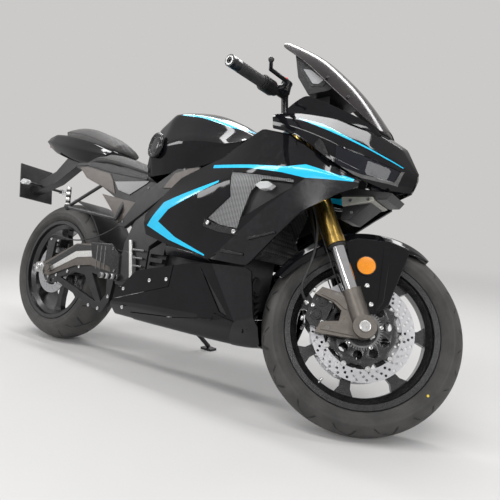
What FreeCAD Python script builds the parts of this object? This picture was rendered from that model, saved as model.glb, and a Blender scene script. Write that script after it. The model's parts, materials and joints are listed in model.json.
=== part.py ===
"""Sport bike with a full fairing, parked on its side stand with the steering against its left stop.

Every piece is first laid out on the bike's own axes: X forward from the rear axle, Y to its left, Z up
from the road, bike upright, wheels straight. The steered pieces are then turned about the steering axis,
and the whole bike leans onto its stand. All sizes are in millimetres.
"""
import FreeCAD
import Part

import math
import os

V = FreeCAD.Vector
ORIGIN = V(0, 0, 0)
X_AXIS = V(1, 0, 0)
Y_AXIS = V(0, 1, 0)
Z_AXIS = V(0, 0, 1)
BOTH_SIDES = (1, -1)

# How it stands
wheelbase = 1435.0
lean_deg = 11.6
steer_stop_deg = 28.0
rake_deg = 27.5
fork_offset = 35.0
running_gap = 0.3
seat_gap = 0.4
wheel_clearance = 8.0

# Wheels and tyres
rim_flange_radius = 225.0
rim_flange_height = 9.0
bead_radius = rim_flange_radius - rim_flange_height
front_tyre_height = 75.0
front_tyre_radius = rim_flange_radius + front_tyre_height
front_tyre_width = 120.0
front_shoulder_drop = front_tyre_height - 37.0
rear_tyre_height = 90.0
rear_tyre_radius = rim_flange_radius + rear_tyre_height
rear_tyre_width = 180.0
rear_shoulder_drop = rear_tyre_height - 37.0
front_rim_width = 102.0
rear_rim_width = 156.0
rim_wall = 7.0
tyre_wall = 8.0
spoke_count = 7
spoke_depth = 26.0
hub_radius = 40.0
front_hub_length = 108.0
rear_hub_length = 150.0
axle_radius = 12.5

# Brakes
front_disc_radius = 150.0
front_disc_inner_radius = 112.0
front_disc_offset = 64.0
disc_thickness = 5.0
bobbin_count = 10
rear_disc_radius = 110.0
rear_disc_inner_radius = 72.0
rear_disc_offset = 84.0
caliper_slot = 11.0

# Fork and handlebars, along the fork leg from the front axle
leg_spacing = 212.0
stanchion_radius = 21.5
fork_tube_radius = 27.0
fork_foot_radius = 28.0
foot_top = 115.0
tube_bottom = 259.0
fork_top = 745.0
lower_yoke_at = 520.0
upper_yoke_at = 690.0
yoke_thickness = 32.0
stem_radius = 17.0
head_radius = 34.0
bar_radius = 11.0
grip_radius = 16.5
grip_length = 122.0

# Bodywork
skin = 4.0
belly_height = 188.0

# Chain drive
chain_offset = 103.0
chain_pitch = 15.875
front_sprocket_teeth = 16
rear_sprocket_teeth = 44
roller_radius = 5.08
sprocket_thickness = 6.0

rake = math.radians(rake_deg)
up_fork = V(-math.sin(rake), 0, math.cos(rake))
across_fork = V(math.cos(rake), 0, math.sin(rake))
front_axle = V(wheelbase, 0, front_tyre_radius)
rear_axle = V(0, 0, rear_tyre_radius)
steering_point = front_axle - across_fork * fork_offset
leg_y = leg_spacing / 2
foot_inner = leg_y - fork_foot_radius - 1


def fork_point(along, ahead=0.0, y=0.0):
    """A point given along the fork leg from the axle, ahead of the leg and sideways."""
    return front_axle + up_fork * along + across_fork * ahead + V(0, y, 0)


def mirrored(shape):
    return shape.mirror(ORIGIN, Y_AXIS)


def both(shape):
    """The piece and its mirror image on the other side, as two solids."""
    return Part.makeCompound([shape, mirrored(shape)])


def polygon_face(points):
    return Part.Face(Part.makePolygon(list(points) + [points[0]]))


def side_prism(outline, y_low, y_high):
    """An outline in the side view, as (x, z) pairs, made solid from y_low to y_high."""
    face = polygon_face([V(x, y_low, z) for x, z in outline])
    return face.extrude(V(0, y_high - y_low, 0))


def fork_prism(outline, y_low, y_high):
    """As side_prism, with (ahead, along) pairs on the fork's own axes."""
    face = polygon_face([fork_point(along, ahead, y_low) for ahead, along in outline])
    return face.extrude(V(0, y_high - y_low, 0))


def rod(start, end, radius):
    direction = end - start
    return Part.makeCylinder(radius, direction.Length, start, direction)


def ring(profile):
    """A closed (radius, y) outline of straight edges turned about the Y axis."""
    return polygon_face([V(radius, y, 0) for radius, y in profile]).revolve(ORIGIN, Y_AXIS, 360)


def round_plate(radius, y_low, y_high, hole_radius=0.0):
    plate = Part.makeCylinder(radius, y_high - y_low, V(0, y_low, 0), Y_AXIS)
    if hole_radius:
        plate = plate.cut(Part.makeCylinder(hole_radius, y_high - y_low, V(0, y_low, 0), Y_AXIS))
    return plate


def turned(shape, degrees, axis=Y_AXIS, centre=ORIGIN):
    copy = shape.copy()
    copy.rotate(centre, axis, degrees)
    return copy


def moved(shape, offset):
    copy = shape.copy()
    copy.translate(offset)
    return copy


def fused(first, *others):
    whole = first.fuse(list(others)).removeSplitter()
    return whole


def one_solid(shape):
    return max(shape.Solids, key=lambda solid: solid.Volume)


# Wheels, made about their own centre and turned about Y

def tyre(radius, width, drop, rim_width):
    """A hollow tyre: a round crown from shoulder to shoulder, and sidewalls down to the beads."""
    half = width / 2
    bead_y = rim_width / 2 - 8
    shoulder = radius - drop

    def chain(inset):
        bead_in = bead_y - inset
        return (
            V(bead_radius + 0.3, bead_in, 0),
            V(rim_flange_radius + 1, bead_in, 0),
            V((rim_flange_radius + shoulder) / 2 + 4, half - inset * 0.9 - 1.5, 0),
            V(shoulder - inset * 0.3, half - inset, 0),
            V(radius - inset, 0, 0),
        )

    def flipped(p):
        return V(p.x, -p.y, 0)

    edges = []
    for inset in (0, tyre_wall):
        bead, flange, wall_mid, edge, crown = chain(inset)
        edges.append(Part.Arc(edge, crown, flipped(edge)).toShape())
        for side in (lambda p: p, flipped):
            edges.append(Part.LineSegment(side(bead), side(flange)).toShape())
            edges.append(Part.Arc(side(flange), side(wall_mid), side(edge)).toShape())
    outer_bead = chain(0)[0]
    inner_bead = chain(tyre_wall)[0]
    for side in (lambda p: p, flipped):
        edges.append(Part.LineSegment(side(outer_bead), side(inner_bead)).toShape())
    wire = Part.Wire(Part.__sortEdges__(edges))
    return Part.Face(wire).revolve(ORIGIN, Y_AXIS, 360)


def crown_arc_radius(width, drop):
    return ((width / 2) ** 2 + drop ** 2) / (2 * drop)


def spoke(rim_inner, half_depth):
    """One blade that sweeps back from the hub and spreads where it meets the rim."""
    # radius, angle of the trailing edge, angle of the leading edge
    table = (
        (hub_radius - 4, -24, 24),
        (80, -7, 15),
        (130, -1, 12),
        (170, 2, 13),
        (rim_inner + 4, -1, 17),
    )

    def at(radius, angle):
        return V(radius * math.cos(math.radians(angle)), -half_depth, radius * math.sin(math.radians(angle)))

    trailing = [at(radius, low) for radius, low, high in table]
    leading = [at(radius, high) for radius, low, high in table]
    return polygon_face(trailing + leading[::-1]).extrude(V(0, 2 * half_depth, 0))


def wheel(rim_width, hub_length):
    """A cast wheel: dropped rim, hub and swept spokes in one piece."""
    half = rim_width / 2
    well = bead_radius - 18
    outline = (
        (rim_flange_radius, half),
        (rim_flange_radius, half - 5),
        (bead_radius, half - 7),
        (bead_radius - 2, half - 22),
        (well, half - 32),
    )
    inner = (
        (well - rim_wall, half - 30),
        (bead_radius - 2 - rim_wall, half - 16),
        (bead_radius - rim_wall, half),
    )
    profile = list(outline) + [(r, -y) for r, y in outline[::-1]]
    profile += [(r, -y) for r, y in inner[::-1]] + list(inner)
    rim = ring(profile)
    hub = round_plate(hub_radius, -hub_length / 2, hub_length / 2)
    blades = [
        turned(spoke(well - rim_wall, spoke_depth / 2), index * 360 / spoke_count)
        for index in range(spoke_count)
    ]
    casting = fused(rim, hub, *blades)
    return casting.cut(round_plate(axle_radius + running_gap, -hub_length, hub_length))


def brake_disc(outer, inner, y, lobes):
    """A rotor whose inner edge carries the lugs for its bobbins."""
    plate = round_plate(outer, y - disc_thickness / 2, y + disc_thickness / 2, inner)
    lug = Part.makeCylinder(9, disc_thickness, V(inner, y - disc_thickness / 2, 0), Y_AXIS)
    lugs = [turned(lug, index * 360 / lobes) for index in range(lobes)]
    return fused(plate, *lugs)


def disc_carrier(outer, inner_radius, y, lobes, hub_face):
    """The spider between hub and rotor, with a scalloped edge."""
    low, high = sorted((y - disc_thickness / 2, y + disc_thickness / 2))
    plate = round_plate(outer, low, high, inner_radius)
    bite = Part.makeCylinder(9, disc_thickness, V(outer, low, 0), Y_AXIS)
    window = Part.makeCylinder(13, disc_thickness, V((outer + inner_radius) / 2, low, 0), Y_AXIS)
    for index in range(lobes):
        plate = plate.cut(turned(bite, index * 360 / lobes))
        plate = plate.cut(turned(window, (index + 0.5) * 360 / lobes))
    stem_low, stem_high = sorted((hub_face, y))
    stem = round_plate(hub_radius + 14, stem_low, stem_high, inner_radius - 1)
    return plate.fuse(stem).removeSplitter()


def front_wheel_pieces():
    rotor = brake_disc(front_disc_radius, front_disc_inner_radius, front_disc_offset, bobbin_count)
    carrier = disc_carrier(front_disc_inner_radius, hub_radius - 8, front_disc_offset, bobbin_count,
                           front_hub_length / 2)
    pieces = {
        "front_rim": wheel(front_rim_width, front_hub_length),
        "front_tyre": tyre(front_tyre_radius, front_tyre_width, front_shoulder_drop, front_rim_width),
        "front_discs": both(fused(rotor, carrier)),
    }
    return {name: moved(shape, front_axle) for name, shape in pieces.items()}


def pitch_circle(teeth):
    return chain_pitch / (2 * math.sin(math.pi / teeth))


def sprocket(teeth, thickness, bore, clearance):
    """Teeth that stay just under the chain's rollers, so that it turns inside a still chain."""
    tip = pitch_circle(teeth) - roller_radius - clearance
    root = tip - 7
    points = []
    for tooth in range(teeth):
        for share, radius in ((0.0, root), (0.3, tip), (0.6, tip), (0.9, root)):
            angle = 2 * math.pi * (tooth + share) / teeth
            points.append(V(radius * math.cos(angle), -thickness / 2, radius * math.sin(angle)))
    plate = polygon_face(points).extrude(V(0, thickness, 0))
    return plate.cut(round_plate(bore, -thickness, thickness))


def rear_wheel_pieces():
    disc = brake_disc(rear_disc_radius, rear_disc_inner_radius, -rear_disc_offset, 6)
    hub_face = -rear_hub_length / 2
    carrier = disc_carrier(rear_disc_inner_radius, hub_radius - 8, -rear_disc_offset, 6, hub_face)
    chainwheel = moved(sprocket(rear_sprocket_teeth, sprocket_thickness, hub_radius - 8, 0.6),
                       V(0, chain_offset, 0))
    for index in range(5):
        window = Part.makeCylinder(15, 2 * sprocket_thickness, V(74, chain_offset - sprocket_thickness, 0),
                                   Y_AXIS)
        chainwheel = chainwheel.cut(turned(window, index * 72))
    cush_hub = round_plate(hub_radius + 16, rear_hub_length / 2, chain_offset - sprocket_thickness / 2,
                           hub_radius - 8)
    pieces = {
        "rear_rim": wheel(rear_rim_width, rear_hub_length),
        "rear_tyre": tyre(rear_tyre_radius, rear_tyre_width, rear_shoulder_drop, rear_rim_width),
        "rear_disc": disc.fuse(carrier).removeSplitter(),
        "rear_sprocket": chainwheel.fuse(cush_hub).removeSplitter(),
    }
    return {name: moved(shape, rear_axle) for name, shape in pieces.items()}


# Fork, handlebars and mudguard: the steered pieces

def fork_pieces():
    tube_bore = rod(fork_point(tube_bottom - 1, y=leg_y), fork_point(tube_bottom + 90, y=leg_y),
                    stanchion_radius + 0.1)
    tube = rod(fork_point(tube_bottom, y=leg_y), fork_point(fork_top, y=leg_y), fork_tube_radius)
    collar = rod(fork_point(tube_bottom, y=leg_y), fork_point(tube_bottom + 24, y=leg_y),
                 fork_tube_radius + 2)
    tubes = fused(tube, collar).cut(tube_bore)
    stanchion = rod(fork_point(foot_top, y=leg_y), fork_point(tube_bottom + 80, y=leg_y), stanchion_radius)
    leg = rod(fork_point(-8, y=leg_y), fork_point(foot_top, y=leg_y), fork_foot_radius)
    boss = moved(round_plate(33, foot_inner, leg_y + fork_foot_radius + 2), front_axle)
    # ahead of the leg, along the leg: the arm that carries the caliper's two ends
    arm_outline = (
        (8, 108), (-30, 112), (-78, 144), (-104, 130), (-62, 94), (-46, 62), (-62, 36),
        (-112, 48), (-138, 24), (-70, -8), (-10, -30), (20, -24),
    )
    arm = fork_prism(arm_outline, leg_y - 20, leg_y + 6)
    foot = fused(leg, boss, arm)
    caliper = front_caliper()
    foot = foot.cut(caliper).cut(moved(round_plate(axle_radius, 0, 300), front_axle))
    return {
        "fork_tubes": both(tubes),
        "fork_stanchions": both(stanchion),
        "fork_feet": both(foot),
        "front_calipers": both(caliper),
    }


def front_caliper():
    """A two-piece block over the disc's edge, with its long side along the disc's rim."""
    angle = math.radians(140)
    out = (math.cos(angle), math.sin(angle))

    def at(radius, sideways):
        return (radius * out[0] - sideways * out[1], radius * out[1] + sideways * out[0])

    # radius from the axle, distance along the rim
    outline = [at(*p) for p in ((104, -48), (104, 48), (140, 56), (164, 40), (168, 0), (164, -40),
                                (140, -56))]
    body = fork_prism(outline, front_disc_offset - 26, front_disc_offset + 33)
    slot = moved(round_plate(front_disc_radius + 6, front_disc_offset - caliper_slot / 2,
                             front_disc_offset + caliper_slot / 2), front_axle)
    return body.cut(slot)


def yoke(along, stem_at):
    thickness = yoke_thickness
    low = along - thickness / 2
    clamp = rod(fork_point(low, y=leg_y), fork_point(low + thickness, y=leg_y), fork_tube_radius + 10)
    middle = rod(fork_point(low, stem_at), fork_point(low + thickness, stem_at), head_radius)
    corners = ((-22, leg_y), (22, leg_y), (-fork_offset + 26, 20), (-fork_offset + 26, -20), (22, -leg_y),
               (-22, -leg_y), (-fork_offset - 26, -20), (-fork_offset - 26, 20))
    outline = [fork_point(low + 4, ahead, y) for ahead, y in corners]
    web = polygon_face(outline).extrude(up_fork * (thickness - 8))
    whole = fused(web, clamp, mirrored(clamp), middle)
    for side in BOTH_SIDES:
        whole = whole.cut(rod(fork_point(low - 1, y=side * leg_y),
                              fork_point(low + thickness + 1, y=side * leg_y),
                              fork_tube_radius))
    return whole


bar_root = V(1052, 115, 1007)
bar_direction = V(-0.477, 0.838, -0.258).normalize()
bar_length = 290.0
bar_end_length = 39.0
grip_at = bar_length - bar_end_length - grip_length - 1


def bar_point(along, offset=ORIGIN):
    return bar_root + bar_direction * along + offset


def handlebar_pieces():
    clamp_low = upper_yoke_at + yoke_thickness / 2
    clamp = rod(fork_point(clamp_low, y=leg_y), fork_point(fork_top - 6, y=leg_y), fork_tube_radius + 9)
    riser_foot = fork_point(clamp_low + 14, -36, leg_y)
    riser = fused(rod(fork_point(clamp_low, -36, leg_y), riser_foot, 13), rod(riser_foot, bar_root, 12),
                  Part.makeSphere(13, riser_foot))
    elbow = Part.makeSphere(13, bar_root)
    bar = rod(bar_root, bar_point(bar_length), bar_radius)
    end = rod(bar_point(grip_at + grip_length + 1), bar_point(bar_length), 18)
    bar = fused(clamp, riser, elbow, bar, end)
    bar = bar.cut(rod(fork_point(clamp_low - 1, y=leg_y), fork_point(fork_top, y=leg_y), fork_tube_radius))
    bar = bar.cut(rod(bar_point(bar_length - 25), bar_point(bar_length + 1), 4))
    grip = rod(bar_point(grip_at), bar_point(grip_at + grip_length), grip_radius)
    flange = rod(bar_point(grip_at), bar_point(grip_at + 6), grip_radius + 5)
    bore = rod(bar_point(grip_at - 1), bar_point(grip_at + grip_length + 1), bar_radius)
    housing = rod(bar_point(grip_at - 50), bar_point(grip_at - 1), 25)
    housing = fused(housing, rod(bar_point(grip_at - 70), bar_point(grip_at - 50), 19)).cut(
        rod(bar_point(0), bar_point(bar_length), bar_radius))
    perch = bar_point(grip_at - 62, V(34, 14, 8))
    knuckle = perch + V(10, 22, 2)
    middle = V(1018, 275, 985)
    ball = V(1026, 335, 972)
    lever = fused(rod(perch, bar_point(grip_at - 61), 9), Part.makeSphere(9, perch), rod(perch, knuckle, 8),
                  Part.makeSphere(8, knuckle), rod(knuckle, middle, 6.5), Part.makeSphere(6.5, middle),
                  rod(middle, ball, 6), Part.makeSphere(9, ball))
    lever = lever.cut(rod(bar_point(0), bar_point(bar_length), 19))
    lever = lever.cut(housing)
    pot = Part.makeCylinder(17, 34, perch + V(2, -26, -6), Z_AXIS)
    pot = fused(pot, rod(perch, perch + V(2, -26, 8), 7)).cut(housing).cut(bar)
    return {
        "handlebars": both(bar),
        "grips": both(fused(grip, flange).cut(bore)),
        "switch_housings": both(housing),
        "brake_levers": both(fused(lever, pot)),
    }


def arc_ring(profile, start_deg, end_deg):
    """A (radius, y) outline swept about Y, with angles from straight ahead towards up."""
    face = polygon_face([V(radius, y, 0) for radius, y in profile])
    face.rotate(ORIGIN, Y_AXIS, -start_deg)
    return face.revolve(ORIGIN, Y_AXIS, start_deg - end_deg)


guard_clearance = 11.0
guard_radius = front_tyre_radius + guard_clearance
guard_half = front_tyre_width / 2 + 18.0


def front_mudguard():
    inside = guard_half - 4
    profile = (
        (guard_radius, -guard_half + 22), (guard_radius - 30, -guard_half), (guard_radius - 58, -guard_half),
        (guard_radius - 58, -inside), (guard_radius - 33, -inside), (guard_radius - 4, -guard_half + 26),
        (guard_radius - 4, guard_half - 26), (guard_radius - 33, inside), (guard_radius - 58, inside),
        (guard_radius - 58, guard_half), (guard_radius - 30, guard_half), (guard_radius, guard_half - 22),
    )
    shell = moved(arc_ring(profile, 62, 158), front_axle)
    # stay, ahead of the axle and above it
    stay_outline = ((116, 252), (60, 76), (-2, 46), (-26, 66), (-98, 262), (-40, 280), (40, 280))
    axle_at = (front_axle.x, front_axle.z)
    stay = side_prism([(x + axle_at[0], z + axle_at[1]) for x, z in stay_outline], inside, guard_half)
    return fused(shell, stay, mirrored(stay))


def hose(points, radius, bend):
    """A hose of straight runs joined by tangent arcs."""
    edges = []
    start = points[0]
    for before, corner, after in zip(points, points[1:], points[2:]):
        back = (before - corner).normalize()
        ahead = (after - corner).normalize()
        half_angle = back.getAngle(ahead) / 2
        reach = bend / math.tan(half_angle)
        entry, leave = corner + back * reach, corner + ahead * reach
        inward = (back + ahead).normalize()
        top = corner + inward * (bend / math.sin(half_angle) - bend)
        edges.append(Part.LineSegment(start, entry).toShape())
        edges.append(Part.Arc(entry, top, leave).toShape())
        start = leave
    edges.append(Part.LineSegment(start, points[-1]).toShape())
    path = Part.Wire(edges)
    section = Part.Wire(Part.makeCircle(radius, points[0], points[1] - points[0]))
    return path.makePipeShell([section], True, True)


def brake_hose():
    # ahead of the leg, along the leg, sideways
    route = (
        (-14, lower_yoke_at - yoke_thickness / 2 + 3.5, 66),
        (-22, 400, 74),
        (-44, 300, 118),
        (-92, 215, 122),
        (-150, 150, 108),
        (-132, 116, 92),
    )
    return hose([fork_point(along, ahead, y) for ahead, along, y in route], 3.5, 22)


def steered_pieces():
    pieces = fork_pieces()
    lower = yoke(lower_yoke_at, -fork_offset)
    stem = rod(fork_point(lower_yoke_at - 16, -fork_offset), fork_point(upper_yoke_at + 24, -fork_offset),
               stem_radius)
    upper = yoke(upper_yoke_at, -fork_offset)
    pieces["lower_yoke"] = fused(lower, stem)
    pieces["upper_yoke"] = upper.cut(stem)
    pieces.update(handlebar_pieces())
    guard = front_mudguard()
    for keep_clear in ("fork_feet", "fork_stanchions", "fork_tubes"):
        guard = guard.cut(pieces[keep_clear])
    pieces["front_mudguard"] = guard
    reflector = moved(round_plate(21, guard_half, guard_half + 7), front_axle + V(-20, 0, 190))
    pieces["fork_reflectors"] = both(reflector)
    spindle = moved(round_plate(axle_radius, -leg_y - 36, leg_y + 36), front_axle)
    collar_low = front_hub_length / 2 + 0.5
    collar = moved(round_plate(axle_radius + 6, collar_low, foot_inner), front_axle)
    pieces["front_axle"] = fused(spindle, collar, mirrored(collar))
    pieces["front_brake_hoses"] = both(brake_hose())
    return pieces


# Bodywork from tables of points

def facets_solid(faces):
    shell = Part.makeShell(faces)
    solid = Part.makeSolid(shell)
    if solid.Volume < 0:
        solid.reverse()
    return solid


def triangle(a, b, c):
    return Part.Face(Part.makePolygon([a, b, c, a]))


def quad(a, b, c, d):
    """Two triangles, or one where two corners meet."""
    faces = []
    for corners in ((a, b, c), (a, c, d)):
        u, v = corners[1] - corners[0], corners[2] - corners[0]
        if u.cross(v).Length > 1e-3:
            faces.append(triangle(*corners))
    return faces


def grid_normal(rows, i, j):
    along = rows[min(i + 1, len(rows) - 1)][j] - rows[max(i - 1, 0)][j]
    across = rows[i][min(j + 1, len(rows[i]) - 1)] - rows[i][max(j - 1, 0)]
    return along.cross(across).normalize()


def panel(table, wall, inside):
    """A sheet through rows of (x, y, z) points, thickened towards the inside point."""
    outer = [[V(*p) for p in row] for row in table]
    inner = []
    for i, row in enumerate(outer):
        inner_row = []
        for j, point in enumerate(row):
            normal = grid_normal(outer, i, j)
            if normal.dot(inside - point) < 0:
                normal = normal * -1
            inner_row.append(point + normal * wall)
        inner.append(inner_row)
    faces = []
    last_i, last_j = len(outer) - 1, len(outer[0]) - 1
    for i in range(last_i):
        for j in range(last_j):
            for sheet in (outer, inner):
                faces += quad(sheet[i][j], sheet[i + 1][j], sheet[i + 1][j + 1], sheet[i][j + 1])
    for i in range(last_i):
        for j in (0, last_j):
            faces += quad(outer[i][j], outer[i + 1][j], inner[i + 1][j], inner[i][j])
    for j in range(last_j):
        for i in (0, last_i):
            faces += quad(outer[i][j], outer[i][j + 1], inner[i][j + 1], inner[i][j])
    return facets_solid(faces)


def hull(stations, grow=0.0):
    """A closed form through (x, half outline) stations, the outline from the bottom to the top."""
    rings = []
    for index, (x, *half) in enumerate(stations):
        shift = grow * (-1 if index == 0 else 1 if index == len(stations) - 1 else 0)
        rise = [-grow] + [0] * (len(half) - 2) + [grow]
        half = [(y + grow, z + up) for (y, z), up in zip(half, rise)]
        if stations[0][0] > stations[-1][0]:
            shift = -shift
        rings.append([V(x + shift, y, z) for y, z in half] + [V(x + shift, -y, z) for y, z in half[::-1]])
    faces = [polygon_face(rings[0]), polygon_face(rings[-1])]
    for first, second in zip(rings, rings[1:]):
        for j in range(len(first)):
            k = (j + 1) % len(first)
            faces += quad(first[j], first[k], second[k], second[j])
    return facets_solid(faces)


def side_window(outline):
    return side_prism(outline, -400, 400)


# The side panels' points from the top edge down; x, y, z of each
side_fairing_rows = (
    ((600, 150, 588), (606, 156, 552), (622, 151, 512)),
    ((755, 156, 728), (765, 188, 640), (775, 168, 476)),
    ((930, 160, 800), (950, 202, 690), (955, 186, 452)),
    ((1080, 162, 895), (1110, 210, 740), (1128, 198, 445)),
    ((1195, 168, 868), (1215, 212, 740), (1201, 206, 523)),
    ((1290, 168, 806), (1300, 205, 744), (1290, 204, 622)),
    ((1370, 158, 758), (1372, 186, 732), (1372, 186, 676)),
    ((1428, 142, 728), (1430, 160, 720), (1431, 162, 708)),
)
# The mesh insert in the side view, with its thin arm ahead along the top
mesh_outline = ((937, 584), (994, 564), (1069, 556), (1076, 591), (1104, 675), (1141, 715), (1250, 706),
                (1250, 716), (1008, 743), (1022, 657))

# The belly pan's points from the top edge down to the keel
belly_rows = (
    ((540, 162, 290), (500, 158, 232), (488, 112, 190), (488, 0, 184)),
    ((620, 164, 372), (610, 162, 240), (606, 112, 188), (606, 0, 181)),
    ((900, 164, 436), (900, 164, 250), (900, 118, 188), (900, 0, 181)),
    ((1110, 172, 440), (1125, 172, 250), (1132, 120, 190), (1132, 0, 183)),
    ((1132, 172, 430), (1165, 172, 290), (1200, 120, 212), (1200, 0, 205)),
)

# The cowl's points from its crest over the screen's foot, the shoulder, the brow and the lamp to the lower lip
cowl_rows = (
    ((1108, 0, 1010), (1108, 156, 945), (1112, 166, 930), (1118, 170, 915), (1122, 173, 900),
     (1126, 174, 890)),
    ((1205, 0, 1005), (1205, 142, 955), (1208, 170, 915), (1212, 178, 888), (1214, 180, 875),
     (1216, 180, 866)),
    ((1318, 0, 975), (1318, 116, 938), (1322, 160, 875), (1330, 172, 838), (1335, 172, 800),
     (1338, 170, 785)),
    ((1434, 0, 914), (1420, 84, 900), (1425, 122, 838), (1430, 132, 802), (1430, 134, 756),
     (1425, 128, 738)),
    ((1506, 0, 866), (1500, 30, 858), (1495, 70, 812), (1496, 78, 780), (1490, 76, 742), (1480, 66, 724)),
    ((1549, 0, 790), (1547, 6, 786), (1548, 7, 779), (1548, 8, 771), (1541, 8, 748), (1534, 7, 730)),
)
# Half plan of the opening under the screen
screen_opening = ((1080, 151), (1216, 132), (1324, 109), (1427, 71))
lamp_outline = ((1345, 832), (1430, 806), (1512, 782), (1500, 748), (1425, 752), (1352, 774))

# Crown of the windscreen: x, z, half width, fall of the edges
screen_rows = (
    (1052, 1268, 92, 48),
    (1122, 1232, 116, 62),
    (1202, 1185, 130, 78),
    (1267, 1128, 134, 84),
    (1338, 1062, 126, 78),
    (1400, 988, 104, 56),
    (1448, 922, 76, 30),
)

# Half sections of the tank cover, seats and tail: x, then y, z from the bottom to the top
tank_sections = (
    (520, (96, 742), (112, 786), (92, 830), (50, 858)),
    (570, (128, 740), (154, 830), (122, 930), (60, 980)),
    (650, (142, 745), (174, 850), (130, 985), (56, 1022)),
    (800, (150, 765), (190, 862), (136, 970), (50, 1012)),
    (930, (150, 800), (172, 846), (104, 925), (44, 955)),
    (1000, (136, 850), (144, 866), (88, 900), (36, 916)),
)
rider_seat_sections = (
    (112, (88, 800), (96, 812), (60, 832)),
    (200, (112, 806), (122, 824), (86, 852)),
    (290, (122, 800), (132, 818), (92, 850)),
    (410, (106, 776), (116, 794), (80, 818)),
    (514, (66, 752), (76, 768), (50, 786)),
)
pillion_seat_sections = (
    (-90, (88, 940), (96, 962), (64, 984)),
    (20, (100, 918), (110, 952), (76, 992)),
    (140, (94, 890), (104, 924), (70, 966)),
    (256, (66, 868), (76, 884), (52, 904)),
)
tail_sections = (
    (-255, (52, 900), (82, 926), (66, 952)),
    (-190, (64, 872), (96, 912), (78, 962)),
    (-60, (84, 835), (116, 890), (92, 948)),
    (90, (98, 800), (124, 862), (100, 918)),
    (262, (90, 800), (118, 838), (84, 866)),
)


def fairing_pieces():
    centre = V(900, 0, 600)
    side = panel(side_fairing_rows, skin, centre)
    mesh_area = side_window(mesh_outline)
    side_mesh = side.common(mesh_area)
    side_panel = side.cut(mesh_area)
    belly_half = panel(belly_rows, skin, V(900, 0, 400))
    belly = fused(belly_half, mirrored(belly_half))
    full_rows = [[(x, -y, z) for x, y, z in row[:0:-1]] + list(row) for row in cowl_rows]
    cowl = panel(full_rows, skin, V(1250, 0, 800))
    lamp_area = side_window(lamp_outline)
    lens = cowl.common(lamp_area)
    plan = [V(x, y, 890) for x, y in screen_opening] + [V(x, -y, 890) for x, y in screen_opening[::-1]]
    opening = polygon_face(plan).extrude(V(0, 0, 200))
    cowl = cowl.cut(lamp_area).cut(opening)
    return {
        "side_fairings": both(side_panel),
        "side_mesh_panels": both(side_mesh),
        "belly_pan": belly,
        "front_cowl": cowl,
        "headlamps": lens,
    }


def windscreen():
    columns = (-1.0, -0.72, -0.36, 0.0, 0.36, 0.72, 1.0)
    rows = []
    for x, z, half, fall in screen_rows:
        rows.append([(x, half * c, z - fall * c * c) for c in columns])
    return panel(rows, 3.0, V(1150, 0, 1000))


def display():
    outline = ((1111, 1196), (1141, 1092), (1188, 1029), (1255, 1035), (1300, 1052))
    return side_prism(outline, -96, 96)


# Frame, seats, tail and swingarm

# The frame's beams: x, inner y, outer y, lower z, upper z
spar_sections = (
    (1074, -8, 38, 745, 848),
    (1010, 40, 84, 715, 818),
    (930, 106, 140, 672, 780),
    (740, 112, 142, 540, 690),
    (600, 112, 142, 440, 610),
)


# where the frame's bosses meet the side panels
fairing_bosses = ((720, 176, 600), (890, 194, 700))


def main_frame():
    wires = []
    for x, y0, y1, z0, z1 in spar_sections:
        wires.append([V(x, y0, z0), V(x, y1, z0), V(x, y1, z1), V(x, y0, z1)])
    faces = [polygon_face(wires[0]), polygon_face(wires[-1])]
    for first, second in zip(wires, wires[1:]):
        for j in range(4):
            k = (j + 1) % 4
            faces += quad(first[j], first[k], second[k], second[j])
    spar = facets_solid(faces)
    pivot_outline = ((600, 610), (640, 560), (640, 340), (592, 302), (512, 302), (492, 330), (505, 470),
                     (540, 560))
    pivot_plate = side_prism(pivot_outline, 112, 142)
    half_gap = running_gap
    head_low = lower_yoke_at + yoke_thickness / 2 + half_gap
    head_high = upper_yoke_at - yoke_thickness / 2 - half_gap
    head = rod(fork_point(head_low, -fork_offset), fork_point(head_high, -fork_offset), head_radius)
    web = fork_prism(((-fork_offset, head_low + 10), (-fork_offset, head_high - 10), (-110, head_high - 20),
                      (-110, head_low + 20)), -38, 38)
    bosses = [rod(V(x, 138, z), V(x, y, z), 9) for x, y, z in fairing_bosses]
    bosses += [mirrored(boss) for boss in bosses]
    whole = fused(head, web, spar, mirrored(spar), pivot_plate, mirrored(pivot_plate), *bosses)
    whole = whole.cut(rod(fork_point(head_low - 1, -fork_offset), fork_point(head_high + 1, -fork_offset),
                          stem_radius + 0.05))
    return whole.cut(moved(round_plate(11, -160, 160), pivot))


pivot = V(540, 0, 385)
front_sprocket_centre = V(625, chain_offset, 400)


def power_unit():
    outline = ((650, 262), (590, 340), (590, 460), (655, 610), (760, 690), (930, 690), (985, 640),
               (1060, 480), (1050, 300), (980, 235), (700, 235))
    block = side_prism(outline, -108, 84)
    feet = [side_prism(((x, 183), (x + 40, 183), (x + 40, 240), (x, 240)), -30, 30) for x in (760, 930)]
    return fused(block, *feet)


def swingarm():
    arm_outline = ((-40, 296), (-40, 334), (27, 344), (220, 441), (324, 450), (478, 436), (566, 418),
                   (580, 385), (566, 352), (500, 345), (330, 362), (230, 348), (60, 285))
    arm = side_prism(arm_outline, 122, 148)
    inner_arm = arm.cut(side_prism(((470, 500), (700, 500), (700, 250), (470, 250)), 111, 200))
    tube = Part.makeCylinder(36, 2 * 111.5, V(pivot.x, -111.5, pivot.z), Y_AXIS)
    neck = side_prism(((440, 440), (470, 436), (560, 410), (560, 358), (470, 348), (440, 350)), 84, 111.5)
    shoulder = side_prism(((330, 450), (470, 436), (470, 348), (330, 362)), 84, 122)
    whole = fused(inner_arm, mirrored(inner_arm), tube, mirrored(neck), mirrored(shoulder), neck, shoulder)
    whole = whole.cut(chain_corridor())
    whole = whole.cut(moved(round_plate(11, -200, 200), pivot))
    whole = whole.cut(moved(round_plate(axle_radius, -200, 200), rear_axle))
    spool = paddock_spool()
    return fused(whole, spool, mirrored(spool))


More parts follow.
